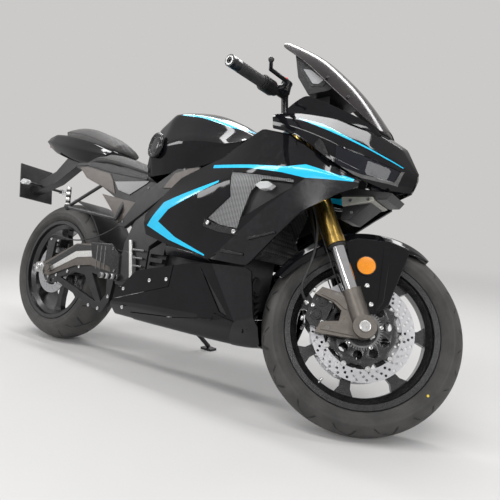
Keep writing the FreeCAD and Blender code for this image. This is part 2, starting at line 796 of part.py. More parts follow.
def chain_corridor():
    """The room that the chain's two runs need through the left arm."""
    return chain_band(-11, 11, chain_offset - 10, chain_offset + 12)


bobbin_at = V(66, 148, 318)


def paddock_spool():
    """A spool on an arm's outer face, for a workshop stand's hook."""
    return fused(rod(bobbin_at, bobbin_at + Y_AXIS * 3, 16), rod(bobbin_at, bobbin_at + Y_AXIS * 15, 9),
                 rod(bobbin_at + Y_AXIS * 13, bobbin_at + Y_AXIS * 16, 16))


def swingarm_brace():
    outline = ((60, 285), (230, 348), (330, 362), (470, 347.6), (480, 325), (474, 235), (440, 185),
               (400, 192))
    brace = side_prism(outline, 126, 142)
    for window in (((140, 288), (228, 322), (300, 318), (395, 222)),
                   ((345, 332), (440, 322), (450, 262), (426, 228))):
        brace = brace.cut(side_prism(window, 120, 150))
    return both(brace)


def chain_points(grow):
    """Where the loop leaves and meets the sprockets' circles, as (start, middle, end) of its parts."""
    rear_r = pitch_circle(rear_sprocket_teeth)
    front_r = pitch_circle(front_sprocket_teeth)
    rear_c = V(rear_axle.x, 0, rear_axle.z)
    front_c = V(front_sprocket_centre.x, 0, front_sprocket_centre.z)
    span = front_c - rear_c
    tilt = math.atan2(span.z, span.x)
    lean_in = math.acos((rear_r - front_r) / span.Length)

    def touch(centre, radius, angle):
        return centre + V(math.cos(angle), 0, math.sin(angle)) * (radius + grow)

    upper, lower = tilt + lean_in, tilt - lean_in
    rear = [touch(rear_c, rear_r, angle) for angle in (upper, tilt + math.pi, lower)]
    front = [touch(front_c, front_r, angle) for angle in (upper, tilt, lower)]
    return rear, front


def chain_band(inner, outer, y_low, y_high):
    """The loop between two distances from the pitch line."""
    faces = []
    for grow in (outer, inner):
        rear, front = chain_points(grow)
        wire = Part.Wire([
            Part.LineSegment(rear[0], front[0]).toShape(),
            Part.Arc(*front).toShape(),
            Part.LineSegment(front[2], rear[2]).toShape(),
            Part.Arc(*rear[::-1]).toShape(),
        ])
        faces.append(Part.Face(wire))
    band = faces[0].cut(faces[1])
    return moved(band, V(0, y_low, 0)).extrude(V(0, y_high - y_low, 0))


def chain():
    """The chain as one still loop: side plates all round, with pins between them."""
    outer = chain_band(-7, 7, chain_offset + 4.5, chain_offset + 7.5)
    inner = chain_band(-7, 7, chain_offset - 7.5, chain_offset - 4.5)
    rear, front = chain_points(0)
    pins = []
    for start, end in ((rear[0], front[0]), (rear[2], front[2])):
        run = end - start
        count = int(run.Length / chain_pitch)
        for index in range(4, count - 2, 2):
            at = start + run * (index / count) + V(0, chain_offset - 5.5, 0)
            pins.append(Part.makeCylinder(roller_radius - 0.5, 11, at, Y_AXIS))
    for index in range(-3, 4):
        pins.append(turned(Part.makeCylinder(roller_radius - 0.5, 11,
                                             front[1] + V(0, chain_offset - 5.5, 0), Y_AXIS),
                           index * 22.5, Y_AXIS, front_sprocket_centre))
    return fused(outer, inner, *pins)


def hugger():
    half = 92.0
    profile = ((328, -half), (332, -half), (332, half), (328, half))
    shell = arc_ring(profile, 14, 78)
    shell = moved(shell, rear_axle)
    bracket = side_prism(((300, 452), (333, 449.7), (365, 446.5), (365, 456), (335, 461), (294, 472),
                          (290, 464)), 84, 92)
    return fused(shell, bracket, mirrored(bracket))


def rear_caliper():
    body = side_prism(((-42, 408), (42, 414), (48, 452), (-36, 452)), -108, -64)
    slot = round_plate(rear_disc_radius + 6, -rear_disc_offset - caliper_slot / 2,
                       -rear_disc_offset + caliper_slot / 2)
    slot = moved(slot, rear_axle)
    bracket = side_prism(((-20, 296), (20, 296), (30, 440), (-24, 440)), -121.5, -108)
    block = fused(body.cut(slot), bracket)
    return block.cut(moved(round_plate(axle_radius, -200, 0), rear_axle))


def seat_frame():
    """The rear frame under the seats, with its two side covers."""
    rail = ((96, 780), (110, 803), (200, 809), (288, 803), (410, 779), (520, 755), (590, 720), (560, 660),
            (420, 700), (230, 745))
    side_cover = ((96, 780), (140, 790), (410, 768), (560, 722), (690, 700), (735, 664), (640, 600),
                  (520, 535), (478, 560), (390, 650), (210, 735))
    cover = side_prism(side_cover, 112, 134)
    middle = side_prism(rail, -112, 112)
    hollow = side_prism(((140, 700), (140, 776), (285, 776), (400, 752), (500, 730), (540, 600)), -92, 92)
    band = side_prism(((868, 803), (799, 812), (552, 662), (452, 532), (492, 528), (685, 665)), 130, 145)
    return fused(middle.cut(hollow), cover, mirrored(cover), band, mirrored(band))


def plate_hanger():
    arm = ((-90, 850), (-40, 832), (-205, 732), (-395, 672), (-430, 690), (-400, 720), (-225, 790),
           (-150, 858))
    plate = ((-440, 812), (-433, 815), (-385, 640), (-392, 637))
    hanger = fused(side_prism(arm, -22, 22), side_prism(plate, -90, 90))
    crossbar = Part.makeCylinder(7, 190, V(-330, -95, 712), Y_AXIS)
    return fused(hanger, crossbar)


def lamp_pod(centre, length, height, depth):
    """A blunt almond lamp: a long lens that tapers to both ends."""
    cx, cy, cz = centre
    outline = ((-0.5, 0.0), (-0.25, 0.42), (0.2, 0.5), (0.5, 0.1), (0.25, -0.42), (-0.2, -0.5))
    return side_prism([(cx + u * length, cz + v * height) for u, v in outline], cy, cy + depth)


def rider_footrests():
    """Plates bolted beside the pivot with heel guards and folding pegs."""
    plate_outline = ((506, 306), (596, 306), (612, 340), (590, 425), (520, 440), (496, 400), (494, 334))
    plate = side_prism(plate_outline, 142, 153)
    peg = rod(V(516, 150, 334), V(506, 236, 334), 10)
    lug = Part.makeCylinder(15, 18, V(516, 148, 334), Y_AXIS)
    guard = side_prism(((349, 393), (464, 368), (479, 332), (522, 340), (509, 419), (459, 459), (328, 455)),
                       149, 159)
    return both(fused(plate, guard, lug, peg))


def pillion_footrests():
    """Triangular hangers on the rear frame, with their pegs folded up."""
    tip = V(150, 176, 590)
    hanger = fused(
        rod(V(448, 128, 636), V(448, 160, 560), 9), rod(V(448, 160, 560), tip, 8),
        rod(V(300, 128, 706), tip, 7),
        Part.makeSphere(9, V(448, 160, 560)), Part.makeSphere(15, tip))
    peg = rod(tip, V(146, 182, 672), 10)
    return both(fused(hanger, peg))


def radiator():
    core = fork_prism(((-205, 300), (-172, 300), (-172, 500), (-205, 500)), -140, 140)
    for row in range(9):
        low = 312 + row * 20
        groove = fork_prism(((-176, low), (-171, low), (-171, low + 9), (-176, low + 9)), -118, 118)
        core = core.cut(groove)
    lug = side_prism(((1040, 480), (1112, 484), (1104, 500), (1040, 506)), -60, 60)
    return fused(core, lug)


def finned_cover():
    """The upright finned block beside the pivot, on the right."""
    block = side_prism(((646, 290), (706, 290), (724, 500), (646, 455)), -140, -108)
    for row in range(5):
        low = 308 + row * 30
        block = block.cut(side_prism(((655, low), (730, low), (730, low + 14), (655, low + 14)), -141, -122))
    return block


def nose_stay():
    """The stay from the head tube to the display, the cowl and the lamps, with the bracket under the nose."""
    arm = fork_prism(((-fork_offset + 8, 575), (160, 575), (160, 632), (-fork_offset + 8, 632)), -28, 28)
    arm = arm.cut(rod(fork_point(500, -fork_offset), fork_point(700, -fork_offset), head_radius + 0.1))
    post = side_prism(((1225, 880), (1262, 880), (1250, 1034), (1200, 1030)), -60, 60)
    bridge = side_prism(((1236, 885), (1470, 840), (1470, 862), (1236, 915)), -34, 34)
    crest_post = side_prism(((1440, 846), (1468, 840), (1468, 893), (1440, 908)), -12, 12)
    bracket_post = side_prism(((1340, 733.88), (1380, 729.41), (1380, 866), (1340, 874)), -30, 30)
    return fused(arm, post, bridge, crest_post, bracket_post)


def nose_bracket():
    plate = side_prism(((1330, 735), (1500, 716), (1478, 690), (1350, 672)), -70, 70)
    box = side_prism(((1350, 676), (1440, 690), (1370, 630), (1345, 632)), -56, 56)
    return fused(plate, box)


stand_pivot = V(560, 152, 236)
stand_foot = (645.0, 325.0)
stand_stowed = V(-0.98, 0.15, 0.12)


def stand_pieces(floor_normal, floor_height):
    """The side stand, its foot flat on the floor, and the bracket it folds on."""
    def floor_point(x, y, lift=0.0):
        z = (floor_height - floor_normal.x * x - floor_normal.y * y) / floor_normal.z
        return V(x, y, z) + floor_normal * lift

    foot_at = floor_point(*stand_foot, lift=13)
    down = (foot_at - stand_pivot).normalize()
    hinge = down.cross(stand_stowed).normalize()
    eye = rod(stand_pivot - hinge * 10, stand_pivot + hinge * 10, 19)
    leg = rod(stand_pivot, foot_at, 9.5)
    x, y = stand_foot
    corners = ((x - 34, y - 16), (x + 26, y - 20), (x + 34, y + 12), (x - 26, y + 24))
    foot = polygon_face([floor_point(*corner) for corner in corners]).extrude(floor_normal * 9)
    tang = rod(stand_pivot + down * 60, stand_pivot + down * 66 + V(-34, 26, 4), 5)
    stand = fused(eye, leg, foot, tang)
    stand = stand.cut(rod(stand_pivot - hinge * 20, stand_pivot + hinge * 20, 7.05))
    cheek = rod(stand_pivot - hinge * 24, stand_pivot - hinge * 10.3, 19)
    pin = rod(stand_pivot - hinge * 24, stand_pivot + hinge * 14, 7)
    cap = rod(stand_pivot + hinge * 10.3, stand_pivot + hinge * 15, 12)
    block = side_prism(((526, 302), (588, 302), (578, 212), (540, 212)), 112, 128)
    web = rod(V(556, 118, 226), stand_pivot - hinge * 17, 12)
    keep_out = rod(stand_pivot - hinge * 10.3, stand_pivot + hinge * 60, 26)
    bracket = fused(fused(block, web).cut(keep_out), cheek, pin, cap)
    return stand, bracket, hinge


def chassis_pieces():
    pieces = fairing_pieces()
    pieces["windscreen"] = windscreen()
    pieces["instrument_display"] = display()
    pieces["main_frame"] = main_frame()
    pieces["power_unit"] = power_unit()
    pieces["finned_cover"] = finned_cover()
    pieces["radiator"] = radiator()
    pieces["nose_stay"] = nose_stay()
    pieces["nose_bracket"] = nose_bracket()
    pieces["tank_cover"] = hull(tank_sections)
    pieces["rider_seat"] = hull(rider_seat_sections)
    pieces["pillion_seat"] = hull(pillion_seat_sections)
    pieces["tail_cowl"] = hull(tail_sections)
    pieces["seat_frame"] = seat_frame()
    pieces["plate_hanger"] = plate_hanger()
    pieces["swingarm"] = swingarm()
    pieces["swingarm_braces"] = swingarm_brace()
    pieces["rear_mudguard"] = hugger()
    pieces["rear_caliper"] = rear_caliper()
    pieces["footrests"] = Part.makeCompound([rider_footrests(), pillion_footrests()])
    spindle = round_plate(axle_radius, -164, 164)
    collars = round_plate(axle_radius + 6, rear_hub_length / 2 + 0.5, 121.5)
    nut = round_plate(20, 148.3, 160)
    ends = side_prism(((-36, -13), (-30, 17), (16, 25), (30, 6), (24, -22), (-20, -24)), 148.3, 156)
    spindle = fused(spindle, collars, round_plate(axle_radius + 6, -107.5, -75.5), nut, mirrored(nut), ends,
                    mirrored(ends))
    pivot_bolt = round_plate(10.9, -141.9, 141.9)
    pieces["rear_axle_and_pivot_bolt"] = Part.makeCompound([moved(spindle, rear_axle),
                                                            moved(pivot_bolt, pivot)])
    front = moved(sprocket(front_sprocket_teeth, sprocket_thickness, 10, running_gap - 0.5),
                  front_sprocket_centre)
    shaft = Part.makeCylinder(14, chain_offset - 84 + 8,
                              V(front_sprocket_centre.x, 84, front_sprocket_centre.z), Y_AXIS)
    pieces["chain_and_front_sprocket"] = Part.makeCompound([chain(), fused(front, shaft)])
    front_pods = both(lamp_pod((1165, 207.5, 690), 62, 24, 26))
    rear_pods = both(lamp_pod((-330, 96, 712), 62, 26, 22))
    pieces["indicators"] = Part.makeCompound([front_pods, rear_pods])
    pieces["tail_lamp"] = side_prism(((-262, 905), (-255.3, 903), (-255.3, 948), (-262, 944)), -58, 58)
    cap = Part.makeCylinder(50, 14, V(612, -164, 850), V(-0.3, -0.95, 0.05))
    pieces["side_cap"] = cap
    return pieces


# pieces whose overlap with others is taken out of them, the kept piece last
carved = (
    ("tail_cowl", ("seat_frame",)),
    ("windscreen", ("front_cowl",)),
    ("instrument_display", ("nose_stay", "windscreen")),
    ("radiator", ("power_unit",)),
    ("footrests", ("seat_frame",)),
    ("nose_bracket", ("front_cowl",)),
    ("nose_stay", ("front_cowl", "nose_bracket")),
    ("main_frame", ("side_fairings", "side_mesh_panels")),
    ("power_unit", ("belly_pan",)),
    ("side_cap", ("tank_cover",)),
    ("tank_cover", ("main_frame", "side_fairings", "seat_frame")),
    ("plate_hanger", ("tail_cowl",)),
    ("side_fairings", ("front_cowl", "radiator", "seat_frame")),
    ("indicators", ("side_fairings",)),
    ("seat_frame", ("main_frame",)),
    ("power_unit", ("main_frame",)),
    ("rear_mudguard", ("swingarm",)),
)


def floor_plane(steered_axle, steered_direction):
    """The floor's normal and height in the bike's axes, with both tyres on it at the given lean."""
    front_crown = crown_arc_radius(front_tyre_width, front_shoulder_drop)
    rear_crown = crown_arc_radius(rear_tyre_width, rear_shoulder_drop)
    lean = math.radians(lean_deg)

    def lowest(centre, axis, radius, crown, normal):
        across = normal.dot(axis)
        return normal.dot(centre) - (radius - crown) * math.sqrt(1 - across * across) - crown

    def plane(pitch):
        normal = V(math.sin(pitch), -math.sin(lean) * math.cos(pitch), math.cos(lean) * math.cos(pitch))
        front = lowest(steered_axle, steered_direction, front_tyre_radius, front_crown, normal)
        rear = lowest(rear_axle, Y_AXIS, rear_tyre_radius, rear_crown, normal)
        return normal, front, rear

    low, high = math.radians(-5), math.radians(5)
    for step in range(60):
        middle = (low + high) / 2
        normal, front, rear = plane(middle)
        if front > rear:
            high = middle
        else:
            low = middle
    return normal, rear, (low + high) / 2


def build_bike():
    """All pieces on the bike's own axes, steered, with the floor plane and the joints' axes."""
    steered = steered_pieces()
    steered.update(front_wheel_pieces())
    for name in steered:
        steered[name] = turned(steered[name], steer_stop_deg, up_fork, steering_point)
    about_steering = FreeCAD.Rotation(up_fork, steer_stop_deg)
    steered_axle = steering_point + about_steering.multVec(front_axle - steering_point)
    wheel_axis = about_steering.multVec(Y_AXIS)
    normal, height, pitch = floor_plane(steered_axle, wheel_axis)
    fixed = chassis_pieces()
    fixed.update(rear_wheel_pieces())
    stand, bracket, hinge = stand_pieces(normal, height)
    fixed["side_stand"] = stand
    fixed["main_frame"] = fused(fixed["main_frame"], bracket)
    room = hull_room()
    for name, grown in room.items():
        for other in ("tail_cowl", "seat_frame", "tank_cover", "side_fairings", "pillion_seat"):
            if other != name:
                fixed[other] = fixed[other].cut(grown)
    for name, others in carved:
        for other in others:
            fixed[name] = fixed[name].cut(fixed[other])
    fixed["belly_pan"] = fixed["belly_pan"].cut(stand_room())
    for step in range(5):
        room = turned(wheel_room(), steer_stop_deg * (step - 2) / 2, up_fork, steering_point)
        for name in ("belly_pan", "side_fairings"):
            fixed[name] = fixed[name].cut(room)
    for name in ("instrument_display", "main_frame", "power_unit", "nose_stay"):
        fixed[name] = one_solid(fixed[name])
    axes = {
        "front_wheel": (steered_axle, wheel_axis),
        "rear_wheel": (rear_axle, Y_AXIS),
        "steering": (steering_point, up_fork),
        "side_stand": (stand_pivot, hinge),
    }
    pieces = dict(fixed)
    pieces.update(steered)
    return pieces, normal, height, pitch, axes


def hull_room():
    """The seats grown by their clearance."""
    return {
        "rider_seat": hull(rider_seat_sections, seat_gap),
        "pillion_seat": hull(pillion_seat_sections, seat_gap),
    }


def wheel_room():
    """What the front tyre needs around it."""
    half = front_tyre_width / 2 + wheel_clearance
    return moved(round_plate(front_tyre_radius + wheel_clearance, -half, half), front_axle)


def stand_room():
    return Part.makeBox(150, 130, 140, V(496, 100, 196))


def placed(shape, pitch, height):
    """From the bike's own axes to the floor."""
    copy = shape.copy()
    copy.rotate(ORIGIN, X_AXIS, -lean_deg)
    copy.rotate(ORIGIN, Y_AXIS, -math.degrees(pitch))
    copy.translate(V(0, 0, -height))
    return copy


def final_pieces():
    """All pieces standing on the floor, with the origin under the middle of their box."""
    pieces, normal, height, pitch, axes = build_bike()
    standing = {name: placed(shape, pitch, height) for name, shape in pieces.items()}
    box = Part.makeCompound(list(standing.values())).optimalBoundingBox(True, False)
    shift = V(-(box.XMin + box.XMax) / 2, -(box.YMin + box.YMax) / 2, -box.ZMin)
    standing = {name: moved(shape, shift) for name, shape in standing.items()}
    place = {"pitch": pitch, "height": height, "shift": shift, "axes": axes, "normal": normal}
    return standing, place


def main():
    standing, place = final_pieces()
    os.makedirs("parts", exist_ok=True)
    for name, shape in standing.items():
        shape.exportStep("parts/" + name + ".step")


if __name__ == "__main__":
    main()
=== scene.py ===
"""Sport motorcycle on its side stand: paint, tyres, seats, lamps and fittings around the solid model."""

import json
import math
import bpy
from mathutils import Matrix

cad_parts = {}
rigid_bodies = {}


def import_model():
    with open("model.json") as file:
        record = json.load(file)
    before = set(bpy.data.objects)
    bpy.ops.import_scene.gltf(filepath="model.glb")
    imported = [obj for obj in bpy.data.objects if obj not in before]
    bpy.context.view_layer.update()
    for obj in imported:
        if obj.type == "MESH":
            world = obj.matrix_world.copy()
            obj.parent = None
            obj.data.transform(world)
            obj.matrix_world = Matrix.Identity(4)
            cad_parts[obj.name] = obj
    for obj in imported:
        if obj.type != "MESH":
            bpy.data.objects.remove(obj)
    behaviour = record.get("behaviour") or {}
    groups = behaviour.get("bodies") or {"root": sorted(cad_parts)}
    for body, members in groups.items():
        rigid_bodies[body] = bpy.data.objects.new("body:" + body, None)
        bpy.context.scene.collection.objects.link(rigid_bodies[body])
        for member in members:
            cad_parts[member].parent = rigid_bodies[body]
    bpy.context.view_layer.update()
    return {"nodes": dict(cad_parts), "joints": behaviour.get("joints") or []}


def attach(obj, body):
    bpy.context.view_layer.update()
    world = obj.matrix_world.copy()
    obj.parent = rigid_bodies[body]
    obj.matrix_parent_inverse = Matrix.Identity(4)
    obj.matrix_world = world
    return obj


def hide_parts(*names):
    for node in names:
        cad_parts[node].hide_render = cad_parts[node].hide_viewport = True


bl_info = {
    "name": "Sport motorcycle",
    "version": (1, 0, 0),
    "blender": (4, 5, 0),
    "location": "3D View > Sidebar > Motorcycle",
    "description": "Paint, tyres, seats, lamps and fittings for the solid model of a sport motorcycle",
    "category": "Object",
}

import bpy
from mathutils import Matrix, Vector

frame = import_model()

MM = 0.001
RIGHT, LEFT = -1, 1

# Places. Tables are in millimetres on the upright motorcycle: X forward from the rear axle, Y to its
# left, Z up from the road. The joints of the solid model say where that frame stands.

RAKE = math.radians(27.5)
STEERED_BY = math.radians(28.0)
FRONT_AXLE = Vector((1435, 0, 300)) * MM
REAR_AXLE = Vector((0, 0, 315)) * MM
UP_FORK = Vector((-math.sin(RAKE), 0, math.cos(RAKE)))
ACROSS_FORK = Vector((math.cos(RAKE), 0, math.sin(RAKE)))
FORK_OFFSET = 35
STEERING_POINT = FRONT_AXLE - ACROSS_FORK * FORK_OFFSET * MM


def axes_matrix(x_axis, y_axis, z_axis, origin):
    rows = [(x_axis[i], y_axis[i], z_axis[i], origin[i]) for i in range(3)]
    return Matrix(rows + [(0, 0, 0, 1)])


def upright_frame():
    joints = {joint["name"]: joint for joint in frame["joints"]}
    y_axis = Vector(joints["rear_wheel_spin"]["axis"]).normalized()
    up_fork = Vector(joints["steering_turn"]["axis"]).normalized()
    across = y_axis.cross(up_fork).normalized()
    x_axis = across * math.cos(RAKE) - up_fork * math.sin(RAKE)
    z_axis = across * math.sin(RAKE) + up_fork * math.cos(RAKE)
    origin = Vector(joints["rear_wheel_spin"]["pos_m"]) - z_axis * REAR_AXLE.z
    return axes_matrix(x_axis, y_axis, z_axis, origin)


UPRIGHT = upright_frame()
STEERED = (UPRIGHT @ Matrix.Translation(STEERING_POINT) @ Matrix.Rotation(STEERED_BY, 4, UP_FORK)
           @ Matrix.Translation(-STEERING_POINT))
FORK = STEERED @ axes_matrix(ACROSS_FORK, Vector((0, 1, 0)), UP_FORK, FRONT_AXLE)
FRONT_WHEEL = STEERED @ Matrix.Translation(FRONT_AXLE)
REAR_WHEEL = UPRIGHT @ Matrix.Translation(REAR_AXLE)

# A piece's home: its place, and the body that it rides on

CHASSIS = (UPRIGHT, "chassis")
STEERING = (STEERED, "steering")
FORK_LINE = (FORK, "steering")
GUARD = (FRONT_WHEEL, "steering")
FRONT = (FRONT_WHEEL, "front_wheel")
REAR = (REAR_WHEEL, "rear_wheel")


# What a user may change

class PaintSettings(bpy.types.PropertyGroup):
    body_colour: bpy.props.FloatVectorProperty(
        name="Body colour", description="Gloss paint of the fairing, tank and tail",
        subtype="COLOR", size=3, min=0, max=1, default=(0.004, 0.004, 0.005))
    stripe_colour: bpy.props.FloatVectorProperty(
        name="Stripe colour", description="Bands along the nose, sides and tank",
        subtype="COLOR", size=3, min=0, max=1, default=(0.0, 0.52, 0.83))
    fork_colour: bpy.props.FloatVectorProperty(
        name="Fork colour", description="Anodised finish of the fork's outer tubes",
        subtype="COLOR", size=3, min=0, max=1, default=(0.40, 0.265, 0.075))
    reflector_colour: bpy.props.FloatVectorProperty(
        name="Reflector colour", description="Round reflectors beside the fork",
        subtype="COLOR", size=3, min=0, max=1, default=(0.83, 0.27, 0.004))


class FittingSettings(bpy.types.PropertyGroup):
    panel_wall: bpy.props.FloatProperty(
        name="Panel wall", description="Thickness of the fairing's panels",
        unit="LENGTH", min=0.002, max=0.006, default=0.0035)
    edge_round: bpy.props.FloatProperty(
        name="Edge round", description="Rounding along the edges of machined pieces",
        unit="LENGTH", min=0.0002, max=0.002, default=0.0008)
    disc_holes: bpy.props.IntProperty(
        name="Disc holes", description="Holes in each row of a brake disc",
        min=12, max=40, default=32)
    seat_crown: bpy.props.FloatProperty(
        name="Seat crown", description="How far a seat's padding may swell",
        unit="LENGTH", min=0.001, max=0.012, default=0.006)


class StudioSettings(bpy.types.PropertyGroup):
    floor_colour: bpy.props.FloatVectorProperty(
        name="Floor colour", description="Plain floor of the studio",
        subtype="COLOR", size=3, min=0, max=1, default=(0.60, 0.59, 0.58))
    lens: bpy.props.FloatProperty(
        name="Lens", description="Focal length of the camera in millimetres",
        min=20, max=80, default=33.42)


# Hands: selecting, editing, finishing

def rest():
    """Object mode with nothing selected."""
    active = bpy.context.view_layer.objects.active
    if active and active.mode != "OBJECT":
        bpy.ops.object.mode_set(mode="OBJECT")
    bpy.ops.object.select_all(action="DESELECT")


def take(*pieces):
    rest()
    for piece in pieces:
        piece.select_set(True)
    bpy.context.view_layer.objects.active = pieces[0]
    return pieces[0]


def edit(piece, mode="FACE", select="SELECT"):
    """Edit mode with everything selected, or nothing."""
    take(piece)
    bpy.ops.object.mode_set(mode="EDIT")
    bpy.ops.mesh.select_mode(type=mode)
    bpy.ops.mesh.select_all(action=select)


def choose(piece, test, part="polygons"):
    """Select the faces, edges or points of a piece that pass a test, and go on in edit mode."""
    take(piece)
    mesh = piece.data
    for kind in (mesh.vertices, mesh.edges, mesh.polygons):
        kind.foreach_set("select", [False] * len(kind))
    items = getattr(mesh, part)
    items.foreach_set("select", [bool(test(item)) for item in items])
    bpy.ops.object.mode_set(mode="EDIT")
    bpy.ops.mesh.select_mode(type={"polygons": "FACE", "edges": "EDGE", "vertices": "VERT"}[part])


def modify(piece, kind, **values):
    take(piece)
    modifier = piece.modifiers.new(kind.title(), kind)
    for name, value in values.items():
        setattr(modifier, name, value)
    bpy.ops.object.modifier_apply(modifier=modifier.name)
    return piece


def smooth(piece, degrees=30):
    take(piece)
    bpy.ops.object.shade_smooth_by_angle(angle=math.radians(degrees))
    return piece


def settle_shading(piece, degrees=34):
    """Smooth shading whose large flat faces stay flat beside their rounded edges."""
    smooth(piece, degrees)
    return modify(piece, "WEIGHTED_NORMAL", keep_sharp=True, weight=50)


def tidy(piece, gap=0.00001):
    """Doubles merged and faces turned outwards."""
    edit(piece)
    bpy.ops.mesh.remove_doubles(threshold=gap)
    bpy.ops.mesh.normals_make_consistent(inside=False)
    rest()
    return piece


def round_edges(piece, width, degrees=32, segments=2):
    return modify(piece, "BEVEL", width=width, segments=segments, limit_method="ANGLE",
                  angle_limit=math.radians(degrees), use_clamp_overlap=True, harden_normals=False)


def subdivide(piece, levels=2):
    return modify(piece, "SUBSURF", levels=levels, render_levels=levels)


def mirror(piece):
    """The piece and its mirror image across the motorcycle's middle, merged where they meet."""
    return modify(piece, "MIRROR", use_axis=(False, True, False), use_mirror_merge=True,
                  merge_threshold=0.0002)


def join(name, *pieces):
    pieces = [piece for piece in pieces if piece]
    take(*pieces)
    if len(pieces) > 1:
        bpy.ops.object.join()
    piece = bpy.context.view_layer.objects.active
    piece.name = name
    return piece


def carve(piece, *cutters):
    """The piece with closed forms cut out of it."""
    for cutter in cutters:
        modify(piece, "BOOLEAN", operation="DIFFERENCE", solver="FAST", object=cutter)
        bpy.data.objects.remove(cutter)
    return piece


def dress(piece, *finishes):
    piece.data.materials.clear()
    for name in finishes:
        piece.data.materials.append(MATERIALS[name])
    return piece


def settle(piece, name, home, *nodes):
    """Put a finished piece where it belongs, with its place in its mesh."""
    place, body = home
    rest()
    piece.name = name
    piece.data.name = name
    piece.data.transform(place)
    piece.data.update()
    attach(piece, body)
    if nodes:
        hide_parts(*nodes)
    return piece


def stay_here(piece, name, finish_name, home, *nodes):
    dress(piece, finish_name)
    return settle(piece, name, home, *nodes)


# Shapes

def sheet(name, rows):
    """A grid of points, row by row."""
    rest()
    count_i, count_j = len(rows), len(rows[0])
    bpy.ops.mesh.primitive_grid_add(x_subdivisions=count_j - 1, y_subdivisions=count_i - 1, size=1)
    piece = bpy.context.object
    piece.name = name
    order = sorted(piece.data.vertices, key=lambda v: (round(v.co.y, 4), round(v.co.x, 4)))
    for index, vertex in enumerate(order):
        i, j = divmod(index, count_j)
        vertex.co = Vector(rows[i][j]) * MM
    return piece


def crease(piece, value, test):
    """Keep the edges that pass a test on their two ends sharp through subdivision."""
    mesh = piece.data
    layer = mesh.attributes.get("crease_edge") or mesh.attributes.new("crease_edge", "FLOAT", "EDGE")
    for edge in mesh.edges:
        first, last = (mesh.vertices[index].co / MM for index in edge.vertices)
        if test(first, last):
            layer.data[edge.index].value = value
    return piece


def hold_rim(piece, value=1.0):
    """Keep the points round an open edge in place through subdivision."""
    mesh = piece.data
    used = {}
    for face in mesh.polygons:
        for key in face.edge_keys:
            used[key] = used.get(key, 0) + 1
    layer = mesh.attributes.new("crease_vert", "FLOAT", "POINT")
    for key, count in used.items():
        for index in key if count == 1 else ():
            layer.data[index].value = value
    return piece


def near_points(places):
    """A test for edges that run from one of these points to another."""
    points = [Vector(place) for place in places]

    def test(first, last):
        return all(min((point - end).length for point in points) < 1 for end in (first, last))

    return test


def closed_hull(name, stations):
    """A closed form through (x, half outline) stations, outlines from the bottom to the top."""
    rows = []
    for x, *half in stations:
        ring = [(x, y, z) for y, z in half] + [(x, -y, z) for y, z in half[::-1]]
        rows.append(ring + ring[:1])
    piece = sheet(name, rows)
    tidy(piece)
    edit(piece, "EDGE", "DESELECT")
    bpy.ops.mesh.select_non_manifold()
    bpy.ops.mesh.edge_face_add()
    rest()
    return tidy(piece)


def rod(start, end, radius, sides):
    """A round bar between two points."""
    rest()
    start, end = Vector(start) * MM, Vector(end) * MM
    along = end - start
    bpy.ops.mesh.primitive_cylinder_add(vertices=sides, radius=radius * MM, depth=along.length)
    piece = bpy.context.object
    turn = Vector((0, 0, 1)).rotation_difference(along.normalized()).to_matrix().to_4x4()
    piece.data.transform(Matrix.Translation((start + end) / 2) @ turn)
    return piece


def block(low, high):
    rest()
    low, high = Vector(low), Vector(high)
    bpy.ops.mesh.primitive_cube_add(size=1, location=(low + high) / 2 * MM, scale=(high - low) * MM)
    bpy.ops.object.transform_apply()
    return bpy.context.object


def plate(name, outline, thickness, axis=1, at=0.0):
    """A flat outline in the two other axes, thick along one axis from a given level."""
    rest()
    count = len(outline)
    bpy.ops.mesh.primitive_circle_add(vertices=count, radius=1, fill_type="NGON")
    piece = bpy.context.object
    piece.name = name
    for vertex, (a, b) in zip(piece.data.vertices, outline):
        place = {0: (at, a, b), 1: (a, at, b), 2: (a, b, at)}[axis]
        vertex.co = Vector(place) * MM
    edit(piece)
    step = [0.0, 0.0, 0.0]
    step[axis] = thickness * MM
    bpy.ops.mesh.extrude_region_move(TRANSFORM_OT_translate={"value": step})
    bpy.ops.mesh.select_all(action="SELECT")
    bpy.ops.mesh.normals_make_consistent(inside=False)
    rest()
    return piece


def spun(name, profile, steps=96, closed=False):
    """A (radius, y) profile in millimetres turned about Y."""
    rest()
    bpy.ops.mesh.primitive_circle_add(vertices=len(profile), radius=1, fill_type="NOTHING")
    piece = bpy.context.object
    piece.name = name
    for vertex, (radius, y) in zip(piece.data.vertices, profile):
        vertex.co = (radius * MM, y * MM, 0)
    if not closed:
        ends = {0, len(profile) - 1}
        choose(piece, lambda edge: set(edge.vertices) == ends, "edges")
        bpy.ops.mesh.delete(type="EDGE")
        rest()
    edit(piece, "VERT")
    bpy.ops.mesh.spin(steps=steps, angle=math.tau, center=(0, 0, 0), axis=(0, 1, 0))
    rest()
    return tidy(piece)


def turned_bar(name, profile, start, direction, steps=48):
    """A (radius, distance) profile in millimetres turned about a line."""
    piece = spun(name, profile, steps)
    piece.data.transform(facing(start, direction) @ Matrix.Rotation(math.radians(90), 4, "X"))
    return tidy(piece)


def turned_pair(name, profile, points, direction, steps=48):
    """Turned shapes at points on the left and at their mirror images, as one piece."""
    a, b, c = direction
    return join(name, *[turned_bar(name, profile, (x, side * y, z), (a, side * b, c), steps)
                        for side in (RIGHT, LEFT) for x, y, z in points])


def around(count):
    """Places turned about Y in equal steps."""
    return [Matrix.Rotation(math.radians(index * 360 / count), 4, "Y") for index in range(count)]


def shifted(x=0.0, y=0.0):
    return Matrix.Translation(Vector((x, y, 0)) * MM)


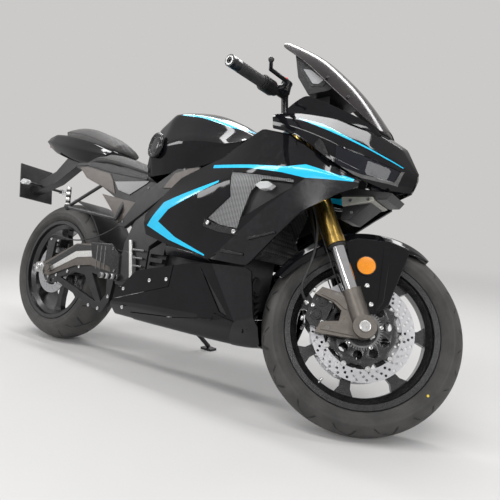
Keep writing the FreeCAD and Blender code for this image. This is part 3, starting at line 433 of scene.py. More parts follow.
def copies(name, piece, places):
    """One shape repeated at each place, as one piece."""
    made = []
    for place in places:
        copy = piece.copy()
        copy.data = piece.data.copy()
        copy.data.transform(place)
        bpy.context.scene.collection.objects.link(copy)
        made.append(copy)
    bpy.data.objects.remove(piece)
    return join(name, *made)


def bolt(radius, height, hexagon=False):
    """A screw head on Z = 0: button head with a socket, or a hexagon."""
    rest()
    sides = 6 if hexagon else 20
    bpy.ops.mesh.primitive_cylinder_add(vertices=sides, radius=radius * MM, depth=height * MM,
                                        location=(0, 0, height * MM / 2))
    bpy.ops.object.transform_apply()
    piece = bpy.context.object
    top = height * MM * 0.98
    choose(piece, lambda face: face.center.z > top)
    bpy.ops.mesh.inset(thickness=radius * MM * 0.45, depth=0)
    bpy.ops.mesh.extrude_region_move(TRANSFORM_OT_translate={"value": (0, 0, -height * MM * 0.5)})
    rest()
    round_edges(piece, radius * MM * 0.16, degrees=40)
    return smooth(piece, 40)


def facing(point, direction):
    """A place at a point with Z along a direction."""
    turn = Vector((0, 0, 1)).rotation_difference(Vector(direction).normalized()).to_matrix().to_4x4()
    return Matrix.Translation(Vector(point) * MM) @ turn


def bolts(name, radius, height, spots, home, finish_name="bare_steel", hexagon=False):
    """Screw heads of one size at (point, direction) spots."""
    places = [facing(point, direction) for point, direction in spots]
    return stay_here(copies(name, bolt(radius, height, hexagon), places), name, finish_name, home)


def both_sides(spots):
    """Spots and their mirror images."""
    mirrored = [((x, -y, z), (a, -b, c)) for (x, y, z), (a, b, c) in spots]
    return list(spots) + mirrored


def screws(table, home):
    """Screw heads on both sides, from rows of name, radius, height, finish, direction and points."""
    for name, radius, height, finish_name, direction, *points in table:
        bolts(name, radius, height, both_sides([(point, direction) for point in points]), home, finish_name)


def turnings(table, home, degrees=35):
    """Turned pieces on both sides, from rows of name, finish, points, direction, steps, profile and solid."""
    for name, finish_name, points, direction, steps, profile, *nodes in table:
        piece = turned_pair(name, profile, points, direction, steps)
        stay_here(smooth(piece, degrees), name, finish_name, home, *nodes)


def side_slabs(table, home):
    """Flat pieces on both sides, from rows of name, finish, nearest and farthest y, edge and outlines."""
    for name, finish_name, low, high, edge, *outlines in table:
        piece = join(name, *[slab(name, outline, -low, -high, edge) for outline in outlines])
        stay_here(mirror(piece), name, finish_name, home)


def hose(name, points, radius):
    """A hose on one smooth line through the neighbourhood of its points."""
    curve = bpy.data.curves.new(name, "CURVE")
    curve.dimensions = "3D"
    curve.bevel_depth = radius * MM
    curve.bevel_resolution = 3
    curve.resolution_u = 12
    curve.use_fill_caps = True
    spline = curve.splines.new("NURBS")
    spline.points.add(len(points) - 1)
    for target, point in zip(spline.points, points):
        target.co = (*(Vector(point) * MM), 1)
    spline.order_u = 3
    spline.use_endpoint_u = True
    piece = bpy.data.objects.new(name, curve)
    bpy.context.scene.collection.objects.link(piece)
    take(piece)
    bpy.ops.object.convert(target="MESH")
    return smooth(bpy.context.object, 60)


def inside_outline(x, z, outline):
    hit = False
    for (x0, z0), (x1, z1) in zip(outline, outline[1:] + outline[:1]):
        if (z0 > z) != (z1 > z) and x < x0 + (z - z0) * (x1 - x0) / (z1 - z0):
            hit = not hit
    return hit


def score(piece, outline, axes=(0, 2), margin=12.0, side=None):
    """Cut a piece's faces along an outline drawn in two axes."""
    outline = list(outline)
    third = 3 - axes[0] - axes[1]
    for (a0, b0), (a1, b1) in zip(outline, outline[1:] + outline[:1]):
        low_a, high_a = min(a0, a1) - margin, max(a0, a1) + margin
        low_b, high_b = min(b0, b1) - margin, max(b0, b1) + margin
        vertices = piece.data.vertices

        def near(face):
            points = [vertices[index].co / MM for index in face.vertices]
            if side and face.center[third] * side < 0:
                return False
            values_a = [p[axes[0]] for p in points]
            values_b = [p[axes[1]] for p in points]
            return (max(values_a) > low_a and min(values_a) < high_a
                    and max(values_b) > low_b and min(values_b) < high_b)

        choose(piece, near)
        point, normal = [0.0] * 3, [0.0] * 3
        point[axes[0]], point[axes[1]] = a0 * MM, b0 * MM
        normal[axes[0]], normal[axes[1]] = b1 - b0, a0 - a1
        if Vector(normal).length > 1e-6:
            bpy.ops.mesh.bisect(plane_co=point, plane_no=Vector(normal).normalized())
        rest()
    return piece


def in_region(outline, axes=(0, 2), side=None):
    outline = list(outline)
    third = 3 - axes[0] - axes[1]

    def test(face):
        if side and face.center[third] * side < 0:
            return False
        return inside_outline(face.center[axes[0]] / MM, face.center[axes[1]] / MM, outline)

    return test


def paint_region(piece, outline, slot, side=None):
    """Give the faces inside an outline another of the piece's finishes."""
    score(piece, outline, side=side)
    test = in_region(outline, side=side)
    for face in piece.data.polygons:
        if test(face):
            face.material_index = slot
    return piece


def part_off(piece, outline, name, gap=0.0):
    """Separate the faces inside an outline as a new piece, with a gap around it."""
    score(piece, outline)
    if gap:
        choose(piece, in_region(outline))
        bpy.ops.mesh.inset(thickness=gap * MM, depth=0, use_boundary=False, use_select_inset=True)
        bpy.ops.mesh.delete(type="FACE")
        rest()
    choose(piece, in_region(outline))
    before = set(bpy.data.objects)
    bpy.ops.mesh.separate(type="SELECTED")
    rest()
    made = [o for o in bpy.data.objects if o not in before][0]
    made.name = name
    return made


def thicken(piece, wall, edge=0.0006):
    """A wall inwards from an outer skin, its rim rounded."""
    modify(piece, "SOLIDIFY", thickness=wall, offset=-1, use_rim=True, use_even_offset=False)
    if edge:
        round_edges(piece, edge, degrees=50, segments=2)
    return smooth(piece, 34)


def raised(skin, outline, name, lift, gap=1.0):
    """A region of a skin as its own piece, lifted along its faces, or sunk by a negative lift."""
    piece = part_off(skin, outline, name, gap=gap)
    edit(piece)
    bpy.ops.transform.shrink_fatten(value=lift * MM)
    rest()
    return piece


def recess(skin, outline, name, depth, slope=3.0):
    """A region of a skin sunk behind sloping walls."""
    piece = part_off(skin, outline, name)
    edit(piece)
    bpy.ops.mesh.inset(thickness=slope * MM, depth=-depth * MM, use_even_offset=False)
    rest()
    return piece


def slab(name, outline, y_low, y_high, edge):
    """A flat piece in the side view between two y values, its edges rounded."""
    low, high = sorted((y_low, y_high))
    piece = plate(name, outline, high - low, at=low)
    round_edges(piece, edge * MM, degrees=30)
    return settle_shading(piece)


def refine(node, name, body, finish_name, edge=None):
    """A solid shown by a merged copy of itself, with flat faces and, if an edge is given, rounded edges."""
    piece = bpy.data.objects.new(name, frame["nodes"][node].data.copy())
    bpy.context.scene.collection.objects.link(piece)
    edit(piece)
    bpy.ops.mesh.remove_doubles(threshold=0.00002)
    bpy.ops.mesh.dissolve_limited(angle_limit=math.radians(0.6))
    rest()
    if edge:
        modify(piece, "BEVEL", width=edge * MM, segments=2, limit_method="ANGLE",
               angle_limit=math.radians(32), use_clamp_overlap=True)
    settle_shading(piece, 32)
    dress(piece, finish_name)
    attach(piece, body)
    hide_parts(node)
    return piece


# Finishes

MATERIALS = {}
GROUPS = {}


def wire(tree, source, target):
    tree.links.new(source, target)


def new_group(name, inputs, outputs):
    """A shader node group with named inputs (kind, name, default) and outputs."""
    tree = bpy.data.node_groups.new(name, "ShaderNodeTree")
    for kind, label, value in inputs:
        socket = tree.interface.new_socket(name=label, in_out="INPUT", socket_type=kind)
        if value is not None:
            socket.default_value = value
    for kind, label in outputs:
        tree.interface.new_socket(name=label, in_out="OUTPUT", socket_type=kind)
    start = tree.nodes.new("NodeGroupInput")
    end = tree.nodes.new("NodeGroupOutput")
    GROUPS[name] = tree
    return tree, start, end


def maths(tree, operation, first, second=None):
    node = tree.nodes.new("ShaderNodeMath")
    node.operation = operation
    for index, value in enumerate((first, second)):
        if value is None:
            continue
        if isinstance(value, (int, float)):
            node.inputs[index].default_value = value
        else:
            wire(tree, value, node.inputs[index])
    return node.outputs[0]


def noise(tree, vector, scale, detail):
    node = tree.nodes.new("ShaderNodeTexNoise")
    node.inputs["Detail"].default_value = detail
    node.inputs["Roughness"].default_value = 0.5
    wire(tree, vector, node.inputs["Vector"])
    if isinstance(scale, (int, float)):
        node.inputs["Scale"].default_value = scale
    else:
        wire(tree, scale, node.inputs["Scale"])
    return node.outputs["Fac"]


def ramp(tree, value, low, high, to_low=0.0, to_high=1.0):
    node = tree.nodes.new("ShaderNodeMapRange")
    node.interpolation_type = "SMOOTHSTEP"
    for label, number in (("From Min", low), ("From Max", high), ("To Min", to_low), ("To Max", to_high)):
        if isinstance(number, (int, float)):
            node.inputs[label].default_value = number
        else:
            wire(tree, number, node.inputs[label])
    wire(tree, value, node.inputs["Value"])
    return node.outputs["Result"]


def mix_colour(tree, factor, first, second):
    node = tree.nodes.new("ShaderNodeMix")
    node.data_type = "RGBA"
    for socket, value in ((node.inputs[0], factor), (node.inputs[6], first), (node.inputs[7], second)):
        if hasattr(value, "links"):
            wire(tree, value, socket)
        elif isinstance(value, (int, float)):
            socket.default_value = value
        else:
            socket.default_value = (*value[:3], 1)
    return node.outputs[2]


def build_groups():
    colour, number, vector = "NodeSocketColor", "NodeSocketFloat", "NodeSocketVector"
    tree, start, end = new_group(
        "Surface tone",
        [(vector, "Vector", None), (colour, "First", (0.1, 0.1, 0.1, 1)),
         (colour, "Second", (0.2, 0.2, 0.2, 1)), (number, "Scale", 20.0), (number, "Smoothest", 0.3),
         (number, "Roughest", 0.4), (number, "Dust", 0.0)],
        [(colour, "Color"), (number, "Roughness"), (number, "Mask")])
    soft = noise(tree, start.outputs["Vector"], start.outputs["Scale"], 4.0)
    fine = noise(tree, start.outputs["Vector"], maths(tree, "MULTIPLY", start.outputs["Scale"], 9.0), 3.0)
    blend = maths(tree, "ADD", maths(tree, "MULTIPLY", soft, 0.7), maths(tree, "MULTIPLY", fine, 0.3))
    mask = ramp(tree, blend, 0.36, 0.64)
    toned = mix_colour(tree, mask, start.outputs["First"], start.outputs["Second"])
    dusty = mix_colour(tree, maths(tree, "MULTIPLY", mask, start.outputs["Dust"]), toned, (0.32, 0.30, 0.27))
    wire(tree, dusty, end.inputs["Color"])
    wire(tree, ramp(tree, fine, 0.3, 0.7, start.outputs["Smoothest"], start.outputs["Roughest"]),
         end.inputs["Roughness"])
    wire(tree, mask, end.inputs["Mask"])

    tree, start, end = new_group(
        "Fine grain", [(vector, "Vector", None), (number, "Scale", 900.0), (number, "Mix", 0.5)],
        [(number, "Height")])
    cells = tree.nodes.new("ShaderNodeTexVoronoi")
    cells.feature = "DISTANCE_TO_EDGE"
    wire(tree, start.outputs["Vector"], cells.inputs["Vector"])
    wire(tree, start.outputs["Scale"], cells.inputs["Scale"])
    pebbles = ramp(tree, cells.outputs["Distance"], 0.0, 0.35)
    speckle = noise(tree, start.outputs["Vector"], maths(tree, "MULTIPLY", start.outputs["Scale"], 1.6), 2.0)
    blended = maths(tree, "ADD", maths(tree, "MULTIPLY", pebbles, start.outputs["Mix"]),
                    maths(tree, "MULTIPLY", speckle, maths(tree, "SUBTRACT", 1.0, start.outputs["Mix"])))
    wire(tree, blended, end.inputs["Height"])

    tree, start, end = new_group(
        "Woven mesh", [(vector, "Vector", None), (number, "Pitch", 0.004)],
        [(number, "Thread"), (number, "Height")])
    parts = tree.nodes.new("ShaderNodeSeparateXYZ")
    wire(tree, start.outputs["Vector"], parts.inputs[0])
    waves = []
    for sign in (1, -1):
        line = maths(tree, "ADD", parts.outputs["X"], maths(tree, "MULTIPLY", parts.outputs["Z"], sign * 1.6))
        turns = maths(tree, "DIVIDE", line, start.outputs["Pitch"])
        waves.append(maths(tree, "SINE", maths(tree, "MULTIPLY", turns, math.pi)))
    woven = maths(tree, "MULTIPLY", waves[0], waves[1])
    wire(tree, ramp(tree, woven, -0.25, 0.35), end.inputs["Thread"])
    wire(tree, ramp(tree, maths(tree, "ABSOLUTE", woven), 0.0, 0.6), end.inputs["Height"])

    tree, start, end = new_group(
        "Tread", [(vector, "Wheel", None), (number, "Half width", 0.06), (number, "Repeats", 14.0),
                  (number, "Shoulder", 0.04)],
        [(number, "Groove"), (number, "Flank"), (number, "Ribs")])
    parts = tree.nodes.new("ShaderNodeSeparateXYZ")
    wire(tree, start.outputs["Wheel"], parts.inputs[0])
    angle = maths(tree, "ARCTAN2", parts.outputs["Z"], parts.outputs["X"])
    turn = maths(tree, "MULTIPLY", maths(tree, "DIVIDE", angle, math.tau), start.outputs["Repeats"])
    side = maths(tree, "DIVIDE", maths(tree, "ABSOLUTE", parts.outputs["Y"]), start.outputs["Half width"])
    away = maths(tree, "SIGN", parts.outputs["Y"])
    grooves = []
    # lean of the groove, its phase, its width, where it starts and ends across the tread
    for lean, phase, width, first, last in ((0.95, 0.0, 0.055, 0.10, 0.62), (-0.35, 0.52, 0.04, 0.42, 0.80),
                                            (0.55, 0.30, 0.028, 0.66, 0.88)):
        slanted = maths(tree, "ADD", turn, maths(tree, "MULTIPLY", side, lean))
        shifted = maths(tree, "ADD", slanted, maths(tree, "MULTIPLY", away, 0.25))
        local = maths(tree, "FRACT", maths(tree, "ADD", shifted, 40.0 + phase))
        offset = maths(tree, "ABSOLUTE", maths(tree, "SUBTRACT", local, 0.5))
        line = ramp(tree, offset, width, width * 0.55)
        span = maths(tree, "MULTIPLY", ramp(tree, side, first - 0.02, first + 0.03),
                     ramp(tree, side, last + 0.03, last - 0.02))
        grooves.append(maths(tree, "MULTIPLY", line, span))
    deepest = maths(tree, "MAXIMUM", grooves[0], maths(tree, "MAXIMUM", grooves[1], grooves[2]))
    square = maths(tree, "ADD", maths(tree, "MULTIPLY", parts.outputs["X"], parts.outputs["X"]),
                   maths(tree, "MULTIPLY", parts.outputs["Z"], parts.outputs["Z"]))
    radius = maths(tree, "SQRT", square)
    on_crown = ramp(tree, radius, maths(tree, "SUBTRACT", start.outputs["Shoulder"], 0.002),
                    start.outputs["Shoulder"])
    wire(tree, maths(tree, "MULTIPLY", deepest, on_crown), end.inputs["Groove"])
    wire(tree, maths(tree, "SUBTRACT", 1.0, on_crown), end.inputs["Flank"])
    ribs = maths(tree, "SINE", maths(tree, "MULTIPLY", radius, 3600.0))
    wire(tree, ribs, end.inputs["Ribs"])

    tree, start, end = new_group(
        "Turned lines", [(vector, "Wheel", None), (number, "Pitch", 0.0012)], [(number, "Height")])
    parts = tree.nodes.new("ShaderNodeSeparateXYZ")
    wire(tree, start.outputs["Wheel"], parts.inputs[0])
    square = maths(tree, "ADD", maths(tree, "MULTIPLY", parts.outputs["X"], parts.outputs["X"]),
                   maths(tree, "MULTIPLY", parts.outputs["Z"], parts.outputs["Z"]))
    radius = maths(tree, "DIVIDE", maths(tree, "SQRT", square), start.outputs["Pitch"])
    combined = tree.nodes.new("ShaderNodeCombineXYZ")
    wire(tree, radius, combined.inputs[0])
    wire(tree, noise(tree, combined.outputs[0], 1.0, 4.0), end.inputs["Height"])


def place_group(tree, name, **values):
    node = tree.nodes.new("ShaderNodeGroup")
    node.node_tree = GROUPS[name]
    for label, value in values.items():
        socket = node.inputs[label.replace("_", " ")]
        if hasattr(value, "links"):
            wire(tree, value, socket)
        elif isinstance(value, (tuple, list)) or hasattr(value, "__len__"):
            socket.default_value = (*list(value)[:3], 1)
        else:
            socket.default_value = value
    return node


def local_vector(tree, place=None):
    """Object coordinates, turned into a wheel's or the motorcycle's own axes if a place is given."""
    source = tree.nodes.new("ShaderNodeTexCoord").outputs["Object"]
    if place is None:
        return source
    inverse = place.inverted()
    node = tree.nodes.new("ShaderNodeMapping")
    node.inputs["Location"].default_value = inverse.to_translation()
    node.inputs["Rotation"].default_value = inverse.to_euler("XYZ")
    wire(tree, source, node.inputs["Vector"])
    return node.outputs["Vector"]


def finish(name, first, second, rough=(0.3, 0.4), scale=18.0, dust=0.0, grain=None, depth=0.0002,
           grain_mix=0.5, metallic=0.0, place=None, **constants):
    """A material with two close tones, uneven roughness and a fine grain."""
    material = bpy.data.materials.new(name)
    material.use_nodes = True
    tree = material.node_tree
    shader = tree.nodes["Principled BSDF"]
    vector = local_vector(tree, place)
    tone = place_group(tree, "Surface tone", Vector=vector, First=first, Second=second, Scale=scale,
                       Smoothest=rough[0], Roughest=rough[1], Dust=dust)
    wire(tree, tone.outputs["Color"], shader.inputs["Base Color"])
    wire(tree, tone.outputs["Roughness"], shader.inputs["Roughness"])
    shader.inputs["Metallic"].default_value = metallic
    for label, value in constants.items():
        shader.inputs[label.replace("_", " ")].default_value = value
    if grain:
        height = place_group(tree, "Fine grain", Vector=vector, Scale=grain, Mix=grain_mix).outputs["Height"]
        add_bump(tree, shader, height, depth)
    MATERIALS[name] = material
    return tree, shader, vector, tone


def add_bump(tree, shader, height, depth, strength=0.6):
    bump = tree.nodes.new("ShaderNodeBump")
    bump.inputs["Strength"].default_value = strength
    bump.inputs["Distance"].default_value = depth
    wire(tree, height, bump.inputs["Height"])
    wire(tree, bump.outputs["Normal"], shader.inputs["Normal"])


def build_finishes(paint):
    body = tuple(paint.body_colour)
    stripe = tuple(paint.stripe_colour)
    gold = tuple(paint.fork_colour)
    orange = tuple(paint.reflector_colour)

    def scaled(colour, factor):
        return tuple(min(1.0, value * factor) for value in colour)

    finish("gloss_black", body, scaled(body, 1.5), (0.05, 0.11), 6.0, grain=260.0, depth=0.00003,
           grain_mix=0.0, Coat_Weight=0.25, Coat_Roughness=0.03, Specular_IOR_Level=0.14)
    finish("satin_paint", scaled(body, 1.3), scaled(body, 2.0), (0.14, 0.22), 9.0, grain=420.0, depth=0.00005,
           grain_mix=0.0, Coat_Weight=0.15, Coat_Roughness=0.12, Specular_IOR_Level=0.3)
    finish("stripe_cyan", stripe, scaled(stripe, 0.92), (0.16, 0.24), 8.0, grain=260.0, depth=0.00003,
           grain_mix=0.0, Coat_Weight=0.5, Coat_Roughness=0.04)
    finish("satin_black", (0.010, 0.010, 0.011), (0.018, 0.018, 0.019), (0.34, 0.48), 22.0, grain=1500.0,
           depth=0.0001, Specular_IOR_Level=0.35)
    finish("edge_black", (0.007, 0.007, 0.008), (0.013, 0.013, 0.014), (0.18, 0.3), 12.0, grain=1200.0,
           depth=0.00005, Coat_Weight=0.3, Coat_Roughness=0.12, Specular_IOR_Level=0.35)
    finish("frame_coat", (0.010, 0.010, 0.011), (0.018, 0.018, 0.019), (0.3, 0.42), 26.0, grain=1100.0,
           depth=0.0001, Coat_Weight=0.25, Coat_Roughness=0.2, Specular_IOR_Level=0.35)
    finish("cast_black", (0.009, 0.009, 0.010), (0.017, 0.017, 0.018), (0.24, 0.36), 40.0, grain=900.0,
           depth=0.0001, metallic=0.2, Coat_Weight=0.35, Coat_Roughness=0.16)
    finish("gunmetal", (0.125, 0.112, 0.100), (0.150, 0.135, 0.121), (0.36, 0.46), 60.0, grain=1300.0,
           depth=0.0001, metallic=0.8)
    finish("cover_brown", (0.078, 0.067, 0.060), (0.094, 0.082, 0.074), (0.34, 0.44), 40.0, grain=1300.0,
           depth=0.00008, metallic=0.35)
    finish("silver_band", (0.66, 0.66, 0.65), (0.72, 0.72, 0.71), (0.26, 0.34), 90.0, grain=1500.0,
           depth=0.00003, metallic=0.85)
    finish("bare_steel", (0.50, 0.50, 0.50), (0.58, 0.58, 0.58), (0.24, 0.34), 90.0, grain=1200.0,
           depth=0.00004, metallic=1.0)
    finish("dark_steel", (0.13, 0.13, 0.13), (0.19, 0.19, 0.19), (0.30, 0.42), 90.0, grain=1200.0,
           depth=0.00006, metallic=0.9)
    finish("bright_steel", (0.52, 0.52, 0.53), (0.56, 0.56, 0.57), (0.07, 0.11), 60.0, metallic=1.0)
    finish("gold_tube", gold, scaled(gold, 1.10), (0.22, 0.28), 120.0, grain=1600.0, depth=0.00002,
           metallic=1.0)
    finish("soft_rubber", (0.012, 0.012, 0.012), (0.02, 0.02, 0.02), (0.5, 0.66), 26.0, grain=1300.0,
           depth=0.00012)
    finish("bracket_grey", (0.30, 0.30, 0.27), (0.37, 0.37, 0.33), (0.34, 0.46), 40.0, grain=1100.0,
           depth=0.0001, metallic=0.2)
    finish("label_grey", (0.42, 0.42, 0.43), (0.46, 0.46, 0.47), (0.34, 0.42), 60.0, grain=1500.0,
           depth=0.00003)
    finish("plate_pale", (0.50, 0.50, 0.50), (0.56, 0.56, 0.55), (0.3, 0.42), 12.0, grain=1200.0,
           depth=0.00005)
    finish("orange_lens", orange, scaled(orange, 1.08), (0.2, 0.3), 40.0, Coat_Weight=0.2, Coat_Roughness=0.1)
    finish("red_switch", (0.55, 0.01, 0.01), (0.62, 0.02, 0.01), (0.3, 0.4), 60.0, grain=1500.0,
           depth=0.00008)
    finish("dot_yellow", (0.72, 0.52, 0.03), (0.80, 0.58, 0.04), (0.5, 0.6), 60.0, grain=1500.0,
           depth=0.00004)

    for name, first, second, thread, rough, pitch, depth in (
            ("mesh_panel", (0.022, 0.022, 0.023), (0.032, 0.032, 0.033), (0.34, 0.345, 0.35), (0.28, 0.4),
             0.0062, 0.0008),
            ("mesh_dark", (0.012, 0.012, 0.013), (0.018, 0.018, 0.019), (0.075, 0.077, 0.080), (0.3, 0.42),
             0.0036, 0.0004)):
        tree, shader, vector, tone = finish(name, first, second, rough, 16.0, metallic=0.4, place=UPRIGHT)
        weave = place_group(tree, "Woven mesh", Vector=vector, Pitch=pitch)
        wire(tree, mix_colour(tree, weave.outputs["Thread"], tone.outputs["Color"], thread),
             shader.inputs["Base Color"])
        add_bump(tree, shader, weave.outputs["Height"], depth, 0.8)

    for name, place, half, repeats, shoulder in (("front_tread", FRONT_WHEEL, 0.060, 15.0, 0.262),
                                                 ("rear_tread", REAR_WHEEL, 0.090, 13.0, 0.262)):
        tree, shader, vector, tone = finish(name, (0.028, 0.027, 0.026), (0.040, 0.038, 0.037), (0.5, 0.64),
                                            18.0, dust=0.04, place=place)
        tread = place_group(tree, "Tread", Wheel=vector, Half_width=half, Repeats=repeats, Shoulder=shoulder)
        # Painted shade: the tread's grooves are coloured near black to stand in for the shade inside them
        painted_groove_shade = mix_colour(tree, tread.outputs["Groove"], tone.outputs["Color"], (0.005, 0.005, 0.005))
        wire(tree, painted_groove_shade, shader.inputs["Base Color"])
        grain = place_group(tree, "Fine grain", Vector=vector, Scale=700.0, Mix=0.3).outputs["Height"]
        ribs = maths(tree, "MULTIPLY", maths(tree, "MULTIPLY", tread.outputs["Ribs"], tread.outputs["Flank"]),
                     0.10)
        level = maths(tree, "ADD", maths(tree, "MULTIPLY", grain, 0.05),
                      maths(tree, "SUBTRACT", ribs, tread.outputs["Groove"]))
        add_bump(tree, shader, level, 0.003, 0.9)

    for name, place in (("front_disc_steel", FRONT_WHEEL), ("rear_disc_steel", REAR_WHEEL)):
        tree, shader, vector, tone = finish(name, (0.46, 0.46, 0.48), (0.50, 0.50, 0.52), (0.28, 0.34), 90.0,
                                            metallic=0.95, place=place)
        lines = place_group(tree, "Turned lines", Wheel=vector, Pitch=0.0009).outputs["Height"]
        add_bump(tree, shader, lines, 0.00002, 0.2)

    finish("seat_cover", (0.044, 0.042, 0.041), (0.062, 0.059, 0.058), (0.50, 0.66),
                                        9.0, grain=620.0, depth=0.0005, grain_mix=0.75,
                                        Sheen_Weight=0.12, Sheen_Roughness=0.5)

    tree, shader, vector, tone = finish("radiator_core", (0.05, 0.05, 0.05), (0.09, 0.09, 0.09), (0.4, 0.55),
                                        26.0, metallic=0.6, place=UPRIGHT)
    parts = tree.nodes.new("ShaderNodeSeparateXYZ")
    wire(tree, vector, parts.inputs[0])
    fins = maths(tree, "SINE", maths(tree, "MULTIPLY", parts.outputs["Z"], 1500.0))
    rows = maths(tree, "SINE", maths(tree, "MULTIPLY", parts.outputs["Y"], 420.0))
    add_bump(tree, shader, maths(tree, "ADD", fins, maths(tree, "MULTIPLY", rows, 0.8)), 0.0012, 0.8)

    finish("tinted_screen", (0.014, 0.011, 0.012), (0.020, 0.016, 0.017), (0.10, 0.16), 6.0,
           Transmission_Weight=0.05, IOR=1.45, Specular_IOR_Level=0.2)
    finish("lamp_smoke", (0.016, 0.017, 0.024), (0.024, 0.025, 0.034), (0.05, 0.09), 9.0,
           Transmission_Weight=0.4, IOR=1.45, Specular_IOR_Level=0.2)
    finish("clear_lens", (0.80, 0.81, 0.82), (0.90, 0.90, 0.91), (0.06, 0.12), 60.0, grain=240.0,
           depth=0.0007, grain_mix=1.0, Transmission_Weight=0.5, IOR=1.49, Coat_Weight=1.0)
    finish("red_lens", (0.30, 0.004, 0.004), (0.38, 0.008, 0.006), (0.18, 0.26), 60.0, grain=260.0,
           depth=0.0003, grain_mix=1.0, Specular_IOR_Level=0.25)
    finish("screen_glass", (0.006, 0.007, 0.009), (0.012, 0.013, 0.016), (0.05, 0.09), 9.0, Coat_Weight=0.6,
           Coat_Roughness=0.02)


# Which finish each solid keeps

NODE_FINISH = {
    "main_frame": "frame_coat", "power_unit": "satin_black", "finned_cover": "satin_black",
    "radiator": "radiator_core", "nose_stay": "satin_black", "nose_bracket": "bracket_grey",
    "seat_frame": "cover_brown", "plate_hanger": "satin_black", "swingarm": "gunmetal",
    "swingarm_braces": "satin_black", "rear_mudguard": "satin_black", "rear_caliper": "cast_black",
    "chain_and_front_sprocket": "bare_steel", "footrests": "gunmetal",
    "rear_axle_and_pivot_bolt": "bare_steel", "indicators": "clear_lens", "tail_lamp": "red_lens",
    "side_cap": "satin_black", "side_stand": "frame_coat", "fork_tubes": "gold_tube",
    "fork_stanchions": "bright_steel", "fork_feet": "gunmetal", "front_calipers": "cast_black",
    "handlebars": "cast_black", "grips": "soft_rubber", "switch_housings": "satin_black",
    "brake_levers": "cast_black", "front_mudguard": "gloss_black", "fork_reflectors": "orange_lens",
    "front_axle": "bare_steel", "front_brake_hoses": "soft_rubber", "lower_yoke": "cast_black",
    "upper_yoke": "cast_black", "front_rim": "cast_black", "rear_rim": "cast_black",
    "rear_sprocket": "bare_steel", "instrument_display": "satin_black", "front_tyre": "front_tread",
    "rear_tyre": "rear_tread", "front_discs": "front_disc_steel", "rear_disc": "rear_disc_steel",
    "side_mesh_panels": "mesh_panel", "windscreen": "tinted_screen", "headlamps": "lamp_smoke",
    "rider_seat": "seat_cover", "pillion_seat": "seat_cover",
}


def show_solids():
    """Every solid gets its finish, whether it stays or is replaced later."""
    for name, node in frame["nodes"].items():
        node.data.materials.clear()
        node.data.materials.append(MATERIALS[NODE_FINISH.get(name, "gloss_black")])


# Fairing panels, from the top edge down; x, y, z of each point

SIDE_ROWS = (
    ((600, 150, 588), (606, 156, 552), (622, 151, 512)),
    ((755, 156, 728), (765, 188, 640), (775, 168, 476)),
    ((930, 160, 800), (950, 202, 690), (955, 186, 452)),
    ((1080, 162, 895), (1110, 210, 740), (1128, 198, 445)),
    ((1195, 168, 868), (1215, 212, 740), (1201, 206, 523)),
    ((1290, 168, 806), (1300, 205, 744), (1290, 204, 622)),
    ((1370, 158, 758), (1372, 186, 732), (1372, 186, 676)),
    ((1428, 142, 728), (1430, 160, 720), (1431, 162, 708)),
)
BELLY_ROWS = (
    ((540, 162, 290), (500, 158, 232), (488, 112, 190), (488, 0, 184)),
    ((620, 164, 372), (610, 162, 240), (606, 112, 188), (606, 0, 181)),
    ((900, 164, 436), (900, 164, 250), (900, 118, 188), (900, 0, 181)),
    ((1110, 172, 440), (1125, 172, 250), (1132, 120, 190), (1132, 0, 183)),
    ((1132, 172, 430), (1165, 172, 290), (1200, 120, 212), (1200, 0, 205)),
)
COWL_ROWS = (
    ((1108, 0, 1010), (1108, 156, 945), (1112, 166, 930), (1118, 170, 915), (1122, 173, 900),
     (1126, 174, 890)),
    ((1205, 0, 1005), (1205, 142, 955), (1208, 170, 915), (1212, 178, 888), (1214, 180, 875),
     (1216, 180, 866)),
    ((1318, 0, 975), (1318, 116, 938), (1322, 160, 875), (1330, 172, 838), (1335, 172, 800),
     (1338, 170, 785)),
    ((1434, 0, 914), (1420, 84, 900), (1425, 122, 838), (1430, 132, 802), (1430, 134, 756), (1425, 128, 738)),
    ((1506, 0, 866), (1500, 30, 858), (1495, 70, 812), (1496, 78, 780), (1490, 76, 742), (1480, 66, 724)),
    ((1549, 0, 790), (1547, 6, 786), (1548, 7, 779), (1548, 8, 771), (1541, 8, 748), (1534, 7, 730)),
)
SCREEN_OPENING = ((1080, 151), (1216, 132), (1324, 109), (1427, 71), (1427, -71), (1324, -109), (1216, -132),
                  (1080, -151))
OPENING_ABOVE = 850
LAMP_OUTLINE = ((1345, 832), (1430, 806), (1512, 782), (1500, 748), (1425, 752), (1352, 774))
MESH_OUTLINE = ((937, 584), (994, 564), (1069, 556), (1076, 591), (1104, 675), (1141, 715), (1250, 706),
                (1250, 716), (1008, 743), (1022, 657))
MESH_TRIM = ((926, 582), (994, 563), (1070, 555), (1074, 534), (992, 540), (922, 556))
LAMP_RECESS = ((1078, 592), (1105, 675), (1142, 714), (1252, 705), (1246, 690), (1112, 610))
BLADE = ((1288, 721), (1440, 740), (1440, 690), (1240, 500), (1160, 420), (940, 420), (973, 450), (1158, 620))
BLADE_LEDGES = (((1119, 533), (1215, 557), (1221, 551), (1121, 522)),
                ((1022, 489), (1114, 481), (1112, 473), (1016, 476)))
BELLY_STRIP = ((880, 426), (1009, 281), (1096, 268), (964, 444))
BELLY_WEDGE = ((918, 424), (1058, 288), (1066, 276), (1030, 288))
BELLY_BLADE = ((964, 444), (1096, 268), (1064, 215), (1064, 150), (1300, 150), (1300, 460))
BELLY_FOOT = ((1009, 281), (1006, 262), (826, 235), (600, 215), (590, 150), (1064, 150), (1064, 215),
              (1096, 268))
BELLY_SIDE = ((520, 252), (793, 336), (802, 446), (600, 382), (520, 300))
CHEVRON = ((963, 712), (701, 634), (626, 545), (756, 500), (944, 458), (944, 463), (790, 511), (690, 562),
           (742, 608), (964, 705))
SIDE_BAND = ((906, 773), (1068, 765), (1213, 755), (1275, 764), (1417, 726), (1416, 720), (1288, 720),
             (1205, 736), (1070, 753), (908, 761))
